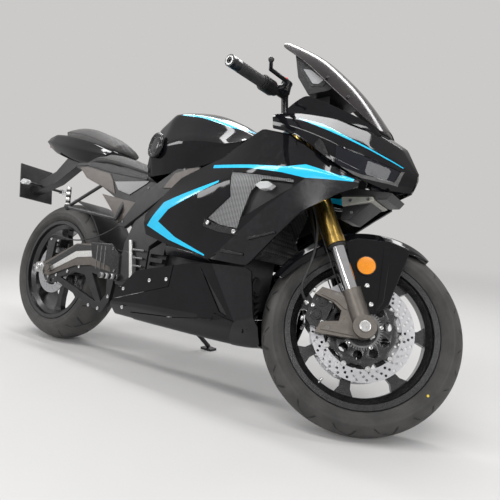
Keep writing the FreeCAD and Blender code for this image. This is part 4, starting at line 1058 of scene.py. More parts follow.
TRIM_SCREWS = (((948, -197.5, 568), (-0.15, -1, 0.0)), ((1060, -200.5, 546), (0, -1, -0.1)))
BELLY_SCREWS = (((570, -163.5, 297), (0, -1, 0.05)), ((577, -160.5, 228), (0, -1, -0.1)),
                ((700, -166.5, 345), (0, -1, 0)), ((780, -166.6, 360), (0, -1, 0)))
STAND_ROOM = ((496, 100, 190), (646, 230, 336))
NOSE_BAND = ((1206, 923), (1288, 902), (1385, 855), (1515, 797), (1515, 794), (1386, 849), (1305, 881),
             (1214, 917))


def face_outwards(piece, outwards):
    """Flip a skin whose faces point inwards by a measure of each face."""
    if sum(outwards(face) for face in piece.data.polygons) < 0:
        edit(piece)
        bpy.ops.mesh.flip_normals()
        rest()
    return piece


def outward_side(piece):
    """Turn a one-sided skin so that its right half faces right."""
    return face_outwards(piece, lambda face: -face.normal.y * face.area if face.center.y < 0 else 0)


def side_skin(name, table, columns, rim, finishes, across=()):
    """The right side's smooth skin through a table of points, creased along some columns and rows."""
    rows = [[(x, -y, z) for x, y, z in row] for row in table]
    skin = sheet(name, rows)
    for column, value in columns:
        crease(skin, value, near_points(row[column] for row in rows))
    for index, value in across:
        crease(skin, value, near_points(rows[index]))
    hold_rim(skin, rim)
    subdivide(skin, 3)
    tidy(skin)
    outward_side(skin)
    return dress(skin, *finishes)


def shell(piece, name, wall, finishes, node=None, cutters=(), edge=0.7):
    """A skin of the right side made a pair of walls, or one wall across the middle."""
    if finishes:
        dress(piece, *finishes)
    mirror(piece)
    thicken(piece, wall, None)
    carve(piece, *cutters)
    round_edges(piece, edge * MM, degrees=50)
    smooth(piece, 32)
    return settle(piece, name, CHASSIS, *((node,) if node else ()))


class MOTO_OT_fairing(bpy.types.Operator):
    """Side panels with their blades, mesh inserts, lamp recesses and bands of colour"""
    bl_idname = "moto.fairing"
    bl_label = "Fairing"

    def execute(self, context):
        wall = context.scene.moto_fittings.panel_wall
        skin = side_skin("side_panel", SIDE_ROWS, ((1, 0.75),), 0.9, ("gloss_black", "stripe_cyan"))
        insert = raised(skin, MESH_OUTLINE, "insert", -2.5)
        trim = raised(skin, MESH_TRIM, "trim", 1.5)
        hollow = recess(skin, LAMP_RECESS, "hollow", 11)
        paint_region(skin, SIDE_BAND, 1)
        blade = raised(skin, BLADE, "blade", 4.5)
        ledges = [raised(blade, outline, "ledge", 4.0) for outline in BLADE_LEDGES]
        paint_region(skin, CHEVRON, 1)
        shell(insert, "mesh_inserts", wall, ("mesh_panel",), "side_mesh_panels")
        shell(trim, "mesh_trims", wall + 0.0015, ("edge_black",))
        shell(hollow, "lamp_recesses", 0.002, ("satin_black",))
        blade.data.materials[0] = MATERIALS["satin_paint"]
        shell(blade, "fairing_blades", wall + 0.0045, None, cutters=tyre_sweep(), edge=1.8)
        shell(join("ledges", *ledges), "blade_ledges", 0.008, ("edge_black",))
        shell(skin, "side_fairing_shells", wall, None, "side_fairings")
        bolts("trim_screws", 7.5, 4, both_sides(TRIM_SCREWS), CHASSIS)
        return {"FINISHED"}


class MOTO_OT_belly(bpy.types.Operator):
    """Belly pan with its raised blades, lower edge, side covers and screws"""
    bl_idname = "moto.belly"
    bl_label = "Belly pan"

    def execute(self, context):
        wall = context.scene.moto_fittings.panel_wall
        skin = side_skin("belly", BELLY_ROWS, ((1, 0.85), (2, 0.6)), 0.9, ("gloss_black",))
        blade = raised(skin, BELLY_BLADE, "belly_blade", 4)
        foot = raised(skin, BELLY_FOOT, "belly_foot", 2.5)
        strip = raised(skin, BELLY_STRIP, "belly_strip", 1.2)
        wedge = raised(strip, BELLY_WEDGE, "belly_wedge", -5)
        side = raised(skin, BELLY_SIDE, "belly_side", 2.2)
        blade.data.materials[0] = MATERIALS["satin_paint"]
        shell(blade, "belly_blades", wall + 0.004, None, cutters=tyre_sweep(), edge=1.8)
        shell(foot, "belly_foot_band", wall + 0.0025, None, cutters=[block(*STAND_ROOM)])
        shell(strip, "belly_strips", wall + 0.001, None)
        shell(wedge, "belly_wedges", 0.002, ("satin_black",))
        shell(side, "belly_side_covers", wall + 0.002, None, cutters=[block(*STAND_ROOM)])
        shell(skin, "belly_shell", wall, None, "belly_pan", cutters=[block(*STAND_ROOM)])
        bolts("belly_screws", 7, 3.5, BELLY_SCREWS, CHASSIS)
        return {"FINISHED"}


# The front tyre's half width and radius with some room
SWEEP_HALF = 68
SWEEP_RADIUS = 308


def tyre_sweep():
    """What the front tyre sweeps between its stops, as cutters."""
    cutters = []
    for step in (-1, -0.5, 0, 0.5, 1):
        across = Vector((0, SWEEP_HALF, 0))
        cutter = rod(FRONT_AXLE / MM - across, FRONT_AXLE / MM + across, SWEEP_RADIUS, 96)
        turn = (Matrix.Translation(STEERING_POINT) @ Matrix.Rotation(STEERED_BY * step, 4, UP_FORK)
                @ Matrix.Translation(-STEERING_POINT))
        cutter.data.transform(turn)
        cutters.append(cutter)
    return cutters


LENS_RIM = ((1345, 776), (1352, 774), (1425, 752), (1500, 748), (1512, 782), (1519, 784), (1506, 740),
            (1424, 743), (1345, 767))
LAMP_DIVIDER = ((1283, 832), (1297, 850), (1312, 836), (1342, 786), (1338, 770), (1304, 782))
NOSE_SCREWS = ("nose_screws", 5, 3.5, "dark_steel", (0, 1, 0), (1375, 66, 690), (1430, 66, 696),
               (1380, 56, 655))


class MOTO_OT_nose(bpy.types.Operator):
    """Nose cowl with its lamp windows, rims and thin bands, the lamps inside and the bracket below"""
    bl_idname = "moto.nose"
    bl_label = "Nose"

    def execute(self, context):
        wall = context.scene.moto_fittings.panel_wall
        skin = side_skin("cowl", COWL_ROWS, ((1, 0.7), (2, 0.5), (3, 0.9), (4, 0.7)), 0.95,
                         ("gloss_black", "stripe_cyan"), across=((2, 0.55), (3, 0.55), (4, 0.55)))
        half = [(x, y) for x, y in SCREEN_OPENING if y < 0]
        half = [(half[0][0], 0)] + half + [(half[-1][0], 0)]
        score(skin, half, (0, 1))
        choose(skin, lambda face: in_region(half, (0, 1))(face) and face.center.z > OPENING_ABOVE * MM)
        bpy.ops.mesh.delete(type="FACE")
        rest()
        lens = raised(skin, LAMP_OUTLINE, "lens", -1.5, gap=0.8)
        rim = raised(skin, LENS_RIM, "rim", 1.5, gap=0.0)
        divider = raised(skin, LAMP_DIVIDER, "divider", 6)
        paint_region(skin, NOSE_BAND, 1)
        shell(lens, "lamp_lenses", 0.003, ("lamp_smoke",), "headlamps", edge=0.5)
        shell(rim, "lens_rims", wall + 0.0015, ("dark_steel",), edge=0.5)
        shell(divider, "lamp_dividers", wall + 0.006, ("edge_black",))
        shell(skin, "nose_shell", wall, None, "front_cowl", edge=0.5)
        self.lamp_units()
        self.bracket()
        return {"FINISHED"}

    def lamp_units(self):
        """Two reflector cups with their lenses behind each smoked window."""
        cups, lenses = [], []
        for side in (RIGHT, LEFT):
            for x, y, z, size in ((1408, 100, 790, 17), (1452, 84, 778, 14)):
                at, towards = (x, side * y, z), (0.8, side * 0.5, -0.06)
                cup = ((0, 0), (size, 0), (size + 2, 4), (size + 4, 16), (size + 1, 16), (size - 4, 6),
                       (0, 4))
                lens = ((0, 13), (size * 0.5, 11.5), (size * 0.8, 8), (size * 0.85, 5), (0, 5))
                cups.append(turned_bar("cup", cup, at, towards, 32))
                lenses.append(turned_bar("lens", lens, at, towards, 32))
        stay_here(smooth(join("cups", *cups), 35), "lamp_cups", "bright_steel", CHASSIS)
        stay_here(smooth(join("bulbs", *lenses), 35), "lamp_bulbs", "clear_lens", CHASSIS)

    def bracket(self):
        chin = slab("chin", ((1330, 735), (1500, 716), (1486, 697), (1452, 695), (1446, 706), (1344, 702)),
                    -70, 70, 2.5)
        box = slab("box", ((1350, 676), (1440, 690), (1372, 630), (1345, 632)), -56, 56, 2.5)
        stay_here(join("chin", chin, box), "nose_chin", "satin_black", CHASSIS, "nose_bracket")
        pale = slab("pale", ((1344, 701), (1444, 705), (1450, 693), (1440, 688), (1350, 672)), -66, 66, 2.0)
        stay_here(pale, "nose_bracket_plate", "bracket_grey", CHASSIS)
        screws((NOSE_SCREWS,), CHASSIS)


# Windscreen: x and height of its middle line, half its width, and the fall to its edge
SCREEN_ROWS = (
    (1052, 1268, 92, 48),
    (1122, 1232, 116, 62),
    (1202, 1185, 130, 78),
    (1267, 1128, 134, 84),
    (1338, 1062, 126, 78),
    (1400, 988, 104, 56),
    (1448, 922, 76, 30),
)
# Fin beside the screen's foot: top, middle and bottom of each row
SCREEN_FOOT = (
    ((1148, -150, 962), (1150, -152, 950), (1152, -152, 938)),
    ((1204, -142, 1008), (1206, -145, 972), (1208, -146, 936)),
    ((1226, -139, 1000), (1230, -142, 968), (1234, -143, 934)),
    ((1318, -126, 962), (1322, -127, 944), (1326, -124, 926)),
    ((1400, -101, 926), (1402, -100, 914), (1404, -97, 900)),
    ((1440, -79, 893), (1440, -79, 888), (1440, -76, 882)),
)
SCREEN_SCREWS = ("screen_screws", 5.5, 3, "satin_black", (0.45, 0.75, 0.5), (1338, 113, 999),
                 (1262, 121, 1066))
# Mesh and blank label beside the instrument display: name, finish, nearest and farthest y, edge, outline
DISPLAY_SLABS = (
    ("display_mesh", "mesh_dark", 94, 98, 0.5,
     ((1136, 1168), (1146, 1162), (1262, 1074), (1236, 1050), (1196, 1056), (1148, 1112))),
    ("display_labels", "label_grey", 95, 99, 0.5,
     ((1158, 1118), (1186, 1112), (1238, 1072), (1222, 1060), (1200, 1064))),
)


class MOTO_OT_screen(bpy.types.Operator):
    """Tinted windscreen with the fins beside its foot, and the instrument display's mesh, label and glass"""
    bl_idname = "moto.screen"
    bl_label = "Windscreen"

    def execute(self, context):
        columns = (-1.0, -0.72, -0.36, 0.0, 0.36, 0.72, 1.0)
        rows = [[(x, half * c, z - fall * c * c) for c in columns] for x, z, half, fall in SCREEN_ROWS]
        skin = sheet("screen", rows)
        subdivide(skin, 3)
        tidy(skin)
        face_outwards(skin, lambda face: face.normal.z)
        thicken(skin, 0.003, 0.001)
        dress(skin, "tinted_screen")
        settle(skin, "windscreen_shell", CHASSIS, "windscreen")
        fillers = sheet("filler", SCREEN_FOOT)
        subdivide(fillers, 2)
        tidy(fillers)
        outward_side(fillers)
        shell(fillers, "screen_side_fillers", 0.003, ("gloss_black",))
        screws((SCREEN_SCREWS,), CHASSIS)
        side_slabs(DISPLAY_SLABS, CHASSIS)
        glass = slab("glass", ((1107, 1190), (1135, 1097), (1140, 1099), (1112, 1192)), -80, 80, 1.0)
        stay_here(glass, "display_glass", "screen_glass", CHASSIS)
        return {"FINISHED"}


# Tank, seats and tail: x, then y, z of half a section from the bottom to the top

TANK_SECTIONS = (
    (520, (96, 742), (112, 786), (92, 830), (50, 858)),
    (570, (128, 740), (154, 830), (122, 930), (60, 980)),
    (650, (142, 745), (174, 850), (130, 985), (56, 1022)),
    (800, (150, 765), (190, 862), (136, 970), (50, 1012)),
    (930, (150, 800), (172, 846), (104, 925), (44, 955)),
    (1000, (136, 850), (144, 866), (88, 900), (36, 916)),
)
RIDER_SEAT = (
    (112, (88, 800), (96, 812), (60, 832)),
    (200, (112, 806), (122, 824), (86, 852)),
    (290, (122, 800), (132, 818), (92, 850)),
    (410, (106, 776), (116, 794), (80, 818)),
    (514, (66, 752), (76, 768), (50, 786)),
)
PILLION_SEAT = (
    (-90, (88, 940), (96, 962), (64, 984)),
    (20, (100, 918), (110, 952), (76, 992)),
    (140, (94, 890), (104, 924), (70, 966)),
    (256, (66, 868), (76, 884), (52, 904)),
)
TAIL_SECTIONS = (
    (-255, (52, 900), (82, 926), (66, 952)),
    (-190, (64, 872), (96, 912), (78, 962)),
    (-60, (84, 835), (116, 890), (92, 948)),
    (90, (98, 800), (124, 862), (100, 918)),
    (262, (90, 800), (118, 838), (84, 866)),
)
TANK_BAND = ((684, 986), (823, 970), (996, 921), (997, 915), (913, 925), (785, 962), (685, 978))


def section_crease(piece, sections, index, value):
    """Crease the lengthwise edges through one point of every section."""
    near = near_points((x, side * half[index][0], half[index][1]) for x, *half in sections
                       for side in (RIGHT, LEFT))
    return crease(piece, value, lambda first, last: abs(first.x - last.x) >= 1 and near(first, last))


def station_crease(piece, stations, value):
    """Crease the edges across some stations."""
    def test(first, last):
        return any(abs(first.x - x) < 1 and abs(last.x - x) < 1 for x in stations)

    return crease(piece, value, test)


def hull(name, sections, lengthwise, across):
    """A smooth closed form through sections, with creases along it and across it."""
    body = closed_hull(name, sections)
    for index, value in enumerate(lengthwise):
        section_crease(body, sections, index, value)
    for stations, value in across:
        station_crease(body, stations, value)
    return subdivide(body, 3)


# The round side cap: its point and direction, its profile, and the level of its screws
CAP_AT = ((612, -164, 850), (-0.3, -0.95, 0.05))
CAP_PROFILE = ((0, 11), (14, 11.6), (26, 11), (29, 9.5), (35, 9.5), (38, 12.6), (44, 14.4), (48, 12.5),
               (50, 9), (50, 0), (0, 0))
CAP_FACE = 9.5
KNEE_COVERS = ("knee_covers", "cover_brown", 141, 153, 3.0,
               ((667, 690), (717, 748), (790, 766), (836, 770), (812, 724), (754, 690)))


class MOTO_OT_tank(bpy.types.Operator):
    """Tank cover with its facets and bands, the round side cap and the knee covers"""
    bl_idname = "moto.tank"
    bl_label = "Tank"

    def execute(self, context):
        body = hull("tank", TANK_SECTIONS, (1.0, 0.9, 0.9, 0.4),
                    (((520, 1000), 0.9), ((570, 650, 930), 0.65)))
        dress(body, "gloss_black", "stripe_cyan")
        for side in (RIGHT, LEFT):
            paint_region(body, TANK_BAND, 1, side=side)
        smooth(body, 30)
        settle(body, "tank_shell", CHASSIS, "tank_cover")
        cap = turned_bar("cap", CAP_PROFILE, *CAP_AT, 64)
        stay_here(smooth(cap, 35), "side_cap_cover", "edge_black", CHASSIS, "side_cap")
        place, outwards = facing(*CAP_AT), CAP_AT[1]
        spots = [(place @ Vector((*(Vector(polar(32, 30 + 60 * k)) * MM), CAP_FACE * MM)) / MM, outwards)
                 for k in range(6)]
        bolts("cap_screws", 2.6, 1.8, spots, CHASSIS, "dark_steel")
        side_slabs((KNEE_COVERS,), CHASSIS)
        return {"FINISHED"}


# The plate hanger's flat face, from its lower to its upper end, and where the plate starts on it
HANGER_FACE = ((-392, 0, 637), (-440, 0, 812))
PLATE_CORNER = (-393.5, 0, 638)
# name, finish, outline, thickness, level on the hanger's face, edge, steps of the rounding
PLATE_PIECES = (
    ("blank_plate", "plate_pale", ((-84, -2), (-84, 174), (84, 174), (84, -2)), 2.0, 0, 1.5, 2),
    ("plate_reflector", "red_lens", ((-34, 34), (-34, 78), (34, 78), (34, 34)), 27.0, 1, 4, 3),
)


class MOTO_OT_tail(bpy.types.Operator):
    """Tail cowl under the pillion seat, with its seams, and the number plate's blank"""
    bl_idname = "moto.tail"
    bl_label = "Tail"

    def execute(self, context):
        body = hull("tail", TAIL_SECTIONS, (0.9, 0.95, 0.85), (((-255, 262), 0.9), ((-190,), 0.5)))
        dress(body, "gloss_black")
        smooth(body, 30)
        settle(body, "tail_shell", CHASSIS, "tail_cowl")
        down = (Vector(HANGER_FACE[1]) - Vector(HANGER_FACE[0])).normalized()
        corner = axes_matrix(Vector((-down.z, 0, down.x)), Vector((0, 1, 0)), down,
                             (Vector(PLATE_CORNER) + down * 2) * MM)
        home = (UPRIGHT @ corner, "chassis")
        for name, finish_name, outline, thickness, at, edge, segments in PLATE_PIECES:
            piece = plate(name, outline, thickness, axis=0, at=at)
            round_edges(piece, edge * MM, degrees=40, segments=segments)
            stay_here(settle_shading(piece), name, finish_name, home)
        return {"FINISHED"}


def swell(pad, crown):
    """Padding that swells under its cover, by a short cloth simulation, its underside held."""
    modify(pad, "REMESH", mode="VOXEL", voxel_size=0.005)
    held = pad.vertex_groups.new(name="held")
    held.add([v.index for v in pad.data.vertices if v.normal.z < -0.45], 1.0, "REPLACE")
    before = [v.co.copy() for v in pad.data.vertices]
    take(pad)
    cloth = pad.modifiers.new("Cloth", "CLOTH")
    cloth.settings.use_pressure = True
    cloth.settings.uniform_pressure_force = 4
    cloth.settings.effector_weights.gravity = 0
    cloth.settings.vertex_group_mass = "held"
    cloth.point_cache.frame_end = 20
    for number in range(1, 21):
        bpy.context.scene.frame_set(number)
    bpy.ops.object.modifier_apply(modifier=cloth.name)
    for vertex, start in zip(pad.data.vertices, before):
        step = vertex.co - start
        if step.length > crown:
            vertex.co = start + step.normalized() * crown
    bpy.context.scene.frame_set(1)
    pad.vertex_groups.clear()
    return subdivide(pad, 1)


def seam(pad, points, radius, sink=0.3):
    """Piping sewn along a line on a pad."""
    line = hose("seam", points, 0)
    modify(line, "SHRINKWRAP", target=pad, wrap_method="NEAREST_SURFACEPOINT", offset=-sink * MM)
    take(line)
    bpy.ops.object.convert(target="CURVE")
    curve = bpy.context.object
    curve.data.bevel_depth = radius * MM
    curve.data.bevel_resolution = 2
    curve.data.use_fill_caps = True
    bpy.ops.object.convert(target="MESH")
    return smooth(bpy.context.object, 60)


SEAT_LIPS = ("seat_lips", "satin_black", 130, 137, 2.0,
             ((104, 796), (200, 799), (290, 792), (410, 768), (510, 745), (562, 734), (559, 724), (350, 752),
              (180, 784), (108, 782)))


class MOTO_OT_seats(bpy.types.Operator):
    """Rider's and pillion's seat pads with their seams, and the lip below the rider's"""
    bl_idname = "moto.seats"
    bl_label = "Seats"

    def execute(self, context):
        crown = context.scene.moto_fittings.seat_crown
        for name, node, sections in (("rider_seat_pad", "rider_seat", RIDER_SEAT),
                                     ("pillion_seat_pad", "pillion_seat", PILLION_SEAT)):
            pad = hull(name, sections, (0.95, 0.6, 0.35), (((sections[0][0], sections[-1][0]), 0.6),))
            swell(pad, crown)
            dress(pad, "seat_cover")
            smooth(pad, 60)
            self.seams(pad, name, sections)
            settle(pad, name, CHASSIS, node)
        side_slabs((SEAT_LIPS,), CHASSIS)
        return {"FINISHED"}

    def seams(self, pad, name, sections):
        """Piping along both edges and along and across the crest."""
        lines = []
        for side in (RIGHT, LEFT):
            rim = [(x, side * (half[1][0] + 2), half[1][1]) for x, *half in sections]
            lines.append(seam(pad, rim, 1.3))
        crest = [(x, half[2][0] * 0.7, half[2][1] + 4) for x, *half in sections[1:-1]]
        lines += [seam(pad, [(x, side * y, z) for x, y, z in crest], 0.9) for side in (RIGHT, LEFT)]
        x, *half = sections[1]
        across = [(x, half[2][0] * 0.7 * t, half[2][1] + 5) for t in (-1, -0.5, 0, 0.5, 1)]
        lines.append(seam(pad, across, 0.9))
        stay_here(join("seams", *lines), name + "_seams", "soft_rubber", CHASSIS)


# name, finish, nearest and farthest y, edge, outlines in the side view
SIDE_PIECES = (
    ("tail_side_covers", "cover_brown", 132, 138, 2.5,
     ((129, 776), (179, 780), (340, 748), (366, 715), (390, 663), (188, 729))),
    ("tail_side_wedges", "cover_brown", 132, 139, 2.5, ((310, 662), (540, 630), (465, 570), (435, 556))),
    ("tail_side_lips", "cover_brown", 136, 145, 2.0,
     ((445, 572), (609, 671), (673, 698), (632, 652), (493, 574), (442, 544))),
    ("seat_side_gloss", "gloss_black", 132, 137, 2.0,
     ((372, 717), (578, 721), (563, 708), (476, 661), (404, 679))),
    ("rear_bands", "satin_black", 131, 149, 3.0,
     ((868, 803), (799, 812), (552, 662), (452, 532), (492, 528), (685, 665))),
    ("swingarm_bands", "silver_band", 147, 151, 1.2,
     ((50, 315), (228, 408), (334, 421), (342, 397), (242, 384), (60, 302))),
    ("swingarm_ledges", "cast_black", 147, 149.5, 0.8,
     ((-32, 323), (39, 338), (225, 438), (323, 442), (334, 423), (228, 411), (48, 317), (-34, 313))),
    ("swingarm_boxes", "edge_black", 147, 161, 3.0,
     ((326, 454), (459, 459), (508, 418), (522, 341), (479, 332), (464, 368), (349, 393))),
    ("swingarm_box_ribs", "dark_steel", 159.5, 162.5, 1.0,
     *[((x, 446), (x + 5, 446), (x + 17, 352), (x + 12, 352)) for x in (372, 396, 420)]),
    ("pivot_strips", "silver_band", 148, 156, 2.0, ((541, 482), (556, 484), (604, 303), (588, 300))),
    ("pivot_ledges", "dark_steel", 140, 154, 1.5,
     *[((560 + k * 10, z), (628, z), (628, z - 7), (562 + k * 10, z - 7))
       for k, z in enumerate((452, 422, 392, 362, 332))]),
)
# name, radius, height, finish, direction, points
REAR_SCREWS = (
    ("brace_bolts", 6.5, 4, "bare_steel", (0, 1, 0), (186, 142, 318), (258, 142, 346), (467, 142, 252),
     (360, 142, 202), (419, 142, 198), (114, 142, 293)),
    ("block_bolts", 6, 4, "bare_steel", (0, 1, 0), (-22, 149, 321), (21, 149, 290)),
    ("cover_bolts", 5, 3, "dark_steel", (0, 1, 0), (470, 161, 440), (496, 161, 356), (592, 149, 690),
     (760, 149, 762), (480, 149, 552)),
)
REAR_LINE = ((-36, -100, 450), (-10, -118, 470), (60, -128, 466), (150, -130, 452), (260, -132, 462),
             (380, -134, 500), (450, -134, 540))
FOLDING_PEG = ((5, 0), (10.4, 3), (11, 14), (9.8, 16), (9.8, 26), (11, 28), (11, 38), (9.8, 40), (9.8, 50),
               (11, 52), (11, 62), (9.8, 64), (9.8, 72), (11, 75), (10.4, 84), (7, 86.5), (0, 86.5))
ADJUSTERS = ("chain_adjusters", "bare_steel", ((-46, 138, 316),), (-1, 0, 0), 24,
             ((4, 0), (4, 10), (8, 10), (8, 16), (3.5, 16), (3.5, 24), (0, 24)))


class MOTO_OT_rear(bpy.types.Operator):
    """Covers, bands, bolts and foot pegs around the rear frame and the swingarm"""
    bl_idname = "moto.rear"
    bl_label = "Rear covers and swingarm"

    def execute(self, context):
        side_slabs(SIDE_PIECES, CHASSIS)
        screws(REAR_SCREWS, CHASSIS)
        bolts("axle_nuts", 15, 9, both_sides((((0, 156, 315), (0, 1, 0)),)), CHASSIS, "bright_steel",
              hexagon=True)
        rider = turned_pair("peg", FOLDING_PEG, ((516, 150, 334),), (-0.115, 0.993, 0), 32)
        pillion = turned_pair("grip", FOLDING_PEG, ((150, 176, 590),), (-0.048, 0.07, 0.996), 32)
        stay_here(smooth(join("pegs", rider, pillion), 35), "ribbed_pegs", "silver_band", CHASSIS)
        turnings((ADJUSTERS,), CHASSIS)
        stay_here(hose("line", REAR_LINE, 2.8), "rear_brake_line", "soft_rubber", CHASSIS)
        spots = [((x, -108, z), (0, -1, 0)) for x, z in ((-26, 420), (30, 424), (34, 444), (-20, 446))]
        bolts("rear_caliper_bolts", 6, 4, spots, CHASSIS)
        return {"FINISHED"}


CHAIN_LINK = 15.875
CHAIN_SPROCKETS = ((0.0, 315.0, 111.3), (625.0, 400.0, 40.7))
CHAIN_SIDES = (111.3, 94.7)
LINK_HALF = ((11.4, 3.6), (8.0, 6.6), (3.2, 4.9), (-3.2, 4.9), (-8.0, 6.6), (-11.4, 3.6))


def chain_path():
    """Even points with their directions along the chain around both sprockets."""
    (x0, z0, large), (x1, z1, small) = CHAIN_SPROCKETS
    run = Vector((x1 - x0, z1 - z0))
    tilt, lean = math.atan2(run.y, run.x), math.acos((large - small) / run.length)
    corners = []
    for k in range(49):
        angle = tilt + lean + (2 * math.pi - 2 * lean) * k / 48
        corners.append(Vector((x0 + large * math.cos(angle), z0 + large * math.sin(angle))))
    for k in range(25):
        angle = tilt - lean + 2 * lean * k / 24
        corners.append(Vector((x1 + small * math.cos(angle), z1 + small * math.sin(angle))))
    corners.append(corners[0])
    total = sum((b - a).length for a, b in zip(corners, corners[1:]))
    count = round(total / CHAIN_LINK)
    spots, travelled, index = [], 0.0, 0
    for k in range(count):
        wanted = total * k / count
        while travelled + (corners[index + 1] - corners[index]).length < wanted:
            travelled += (corners[index + 1] - corners[index]).length
            index += 1
        step = corners[index + 1] - corners[index]
        spots.append((corners[index] + step * ((wanted - travelled) / step.length), step.normalized()))
    return spots


class MOTO_OT_chain(bpy.types.Operator):
    """Drive chain links along the outer side of the chain's loop"""
    bl_idname = "moto.chain"
    bl_label = "Chain"

    def execute(self, context):
        link = plate("link", [(x * sign, z * sign) for sign in (1, -1) for x, z in LINK_HALF], 1.6, at=-0.8)
        left = Vector((0, 1, 0))
        places = [axes_matrix(Vector((step.x, 0, step.y)), left, Vector((-step.y, 0, step.x)),
                              Vector((spot.x, y, spot.y)) * MM)
                  for spot, step in chain_path()[::2] for y in CHAIN_SIDES]
        stay_here(smooth(copies("links", link, places), 30), "chain_links", "dark_steel", CHASSIS)
        return {"FINISHED"}


def grip_profile():
    """A collar, ribs along the grip, and its closed end."""
    profile = [(0, 128), (21, 128), (21.5, 131), (21, 134), (17, 134)]
    for k in range(19):
        x = 137 + 5.9 * k
        profile += [(17, x), (18.2, x + 1.2), (18.2, x + 3.6), (17, x + 4.8)]
    return profile + [(16.5, 250), (0, 250)]


BAR_ROOT, BAR_DIRECTION = ((1052, 115, 1007),), (-0.4779, 0.8396, -0.2585)
# name, finish, points, direction, steps, profile, solid
CONTROLS = (
    ("ribbed_grips", "soft_rubber", BAR_ROOT, BAR_DIRECTION, 40, grip_profile(), "grips"),
    ("bar_ends", "cast_black", BAR_ROOT, BAR_DIRECTION, 40,
     ((0, 250.5), (14, 250.5), (17.6, 254), (18.2, 276), (17.2, 279), (17.4, 288), (14.5, 291), (9, 291),
      (8, 284), (0, 284))),
    ("bar_end_rings", "bare_steel", BAR_ROOT, BAR_DIRECTION, 40,
     ((9.5, 288.2), (14.2, 288.2), (14.2, 291.6), (9.5, 291.6))),
    ("reservoir_caps", "satin_black", ((1056.5, 158.4, 991.9),), (0, 0, 1), 40,
     ((0, 31), (17.6, 31), (18.6, 33), (18.6, 37), (17, 38.5), (0, 38.5))),
)


class MOTO_OT_controls(bpy.types.Operator):
    """Ribbed grips, bar ends, brake levers, the lids of their pots, and the switches"""
    bl_idname = "moto.controls"
    bl_label = "Controls"

    def execute(self, context):
        turnings(CONTROLS, STEERING)
        refine("brake_levers", "lever_arms", "steering", "cast_black")
        switches = join("switches", *[block((1048, side * 190 - 6, 1016), (1062, side * 190 + 6, 1024))
                                      for side in (RIGHT, LEFT)])
        round_edges(switches, 1.5 * MM)
        stay_here(settle_shading(switches), "run_switches", "red_switch", STEERING)
        return {"FINISHED"}


class MOTO_OT_intakes(bpy.types.Operator):
    """Ribs, their back plates and pads behind the side panels, and the lower flanges"""
    bl_idname = "moto.intakes"
    bl_label = "Intakes and radiator"

    def execute(self, context):
        ribs = []
        for k in range(6):
            z = 250 + 20 * k
            outline = ((-166, z + 8), (-137, z - 8), (-110, z + 8), (-110, z), (-137, z - 16), (-166, z))
            ribs.append(plate("rib", outline, 14, axis=0, at=1128))
        ribs = join("ribs", *ribs)
        round_edges(ribs, 1.0 * MM)
        back = plate("back", ((-168, 238), (-106, 238), (-106, 368), (-168, 368)), 6, axis=0, at=1122)
        pad = plate("pad", ((-165, 372), (-160, 402), (-140, 416), (-118, 408), (-112, 385), (-135, 365)), 14,
                    axis=0, at=1126)
        round_edges(pad, 3.0 * MM)
        for piece, name, finish_name in ((ribs, "intake_ribs", "satin_black"),
                                         (back, "intake_backs", "edge_black"),
                                         (pad, "intake_pads", "satin_black")):
            mirror(piece)
            stay_here(settle_shading(piece), name, finish_name, CHASSIS)
        rows = [[(x, -top, high), (x, -150, low)] for x, top, high, low in
                ((742, 168, 478, 446), (850, 178, 467, 441), (958, 186, 455, 436))]
        shell(sheet("flange", rows), "lower_flanges", 0.0025, ("satin_paint",))
        return {"FINISHED"}


BEAD_RADIUS = 216.4


class MOTO_OT_tyres(bpy.types.Operator):
    """Both tyres, with moulded rings on their walls"""
    bl_idname = "moto.tyres"
    bl_label = "Tyres"

    def execute(self, context):
        for name, node, home, radius, width, drop, rim, finish_name in (
                ("front_tyre_rubber", "front_tyre", FRONT, 300, 120, 38, 102, "front_tread"),
                ("rear_tyre_rubber", "rear_tyre", REAR, 315, 180, 53, 156, "rear_tread")):
            tyre = spun(name, self.section(radius, width / 2, drop, rim), 180, closed=True)
            stay_here(smooth(tyre, 40), name, finish_name, home, node)
        return {"FINISHED"}

    def section(self, radius, half, drop, rim):
        """Outer line from bead to bead, then the inner line back."""
        bulge = (half * half + drop * drop) / (2 * drop)
        spread = math.asin(half / bulge)
        bead = rim / 2 - 8
        shoulder = radius - drop
        crown = []
        for step in range(33):
            angle = spread * (1 - step / 16)
            crown.append((radius - bulge + bulge * math.cos(angle), bulge * math.sin(angle)))
        wall = [(BEAD_RADIUS, bead), (226, bead), (229, bead + (half - bead) * 0.35)]
        wall += [(232, bead + (half - bead) * 0.42), (236, half * 0.93), (244, half - 1.4), (246, half - 0.6),
                 (248, half - 1.2), (shoulder - 4, half - 0.5)]
        wall = sorted(set(wall))
        left = wall + crown
        right = [(r, -y) for r, y in wall[::-1]]
        middle = ((BEAD_RADIUS, -bead), (shoulder, -half), (radius, 0), (shoulder, half), (BEAD_RADIUS, bead))
        inner = [(r - 8 if r > 240 else r, y * 0.88) for r, y in middle]
        return left + right + inner


# Brakes and wheels

def open_wedge(piece, half):
    """Take the two radial faces off a wedge, so that its copies join round the axle."""
    def radial(face):
        angle = abs(math.degrees(math.atan2(face.center.z, face.center.x)))
        return abs(angle - half) < 0.05 and abs(face.normal.y) < 0.1

    choose(piece, radial)
    bpy.ops.mesh.delete(type="FACE")
    rest()
    return piece


def polar(radius, degrees):
    return radius * math.cos(math.radians(degrees)), radius * math.sin(math.radians(degrees))


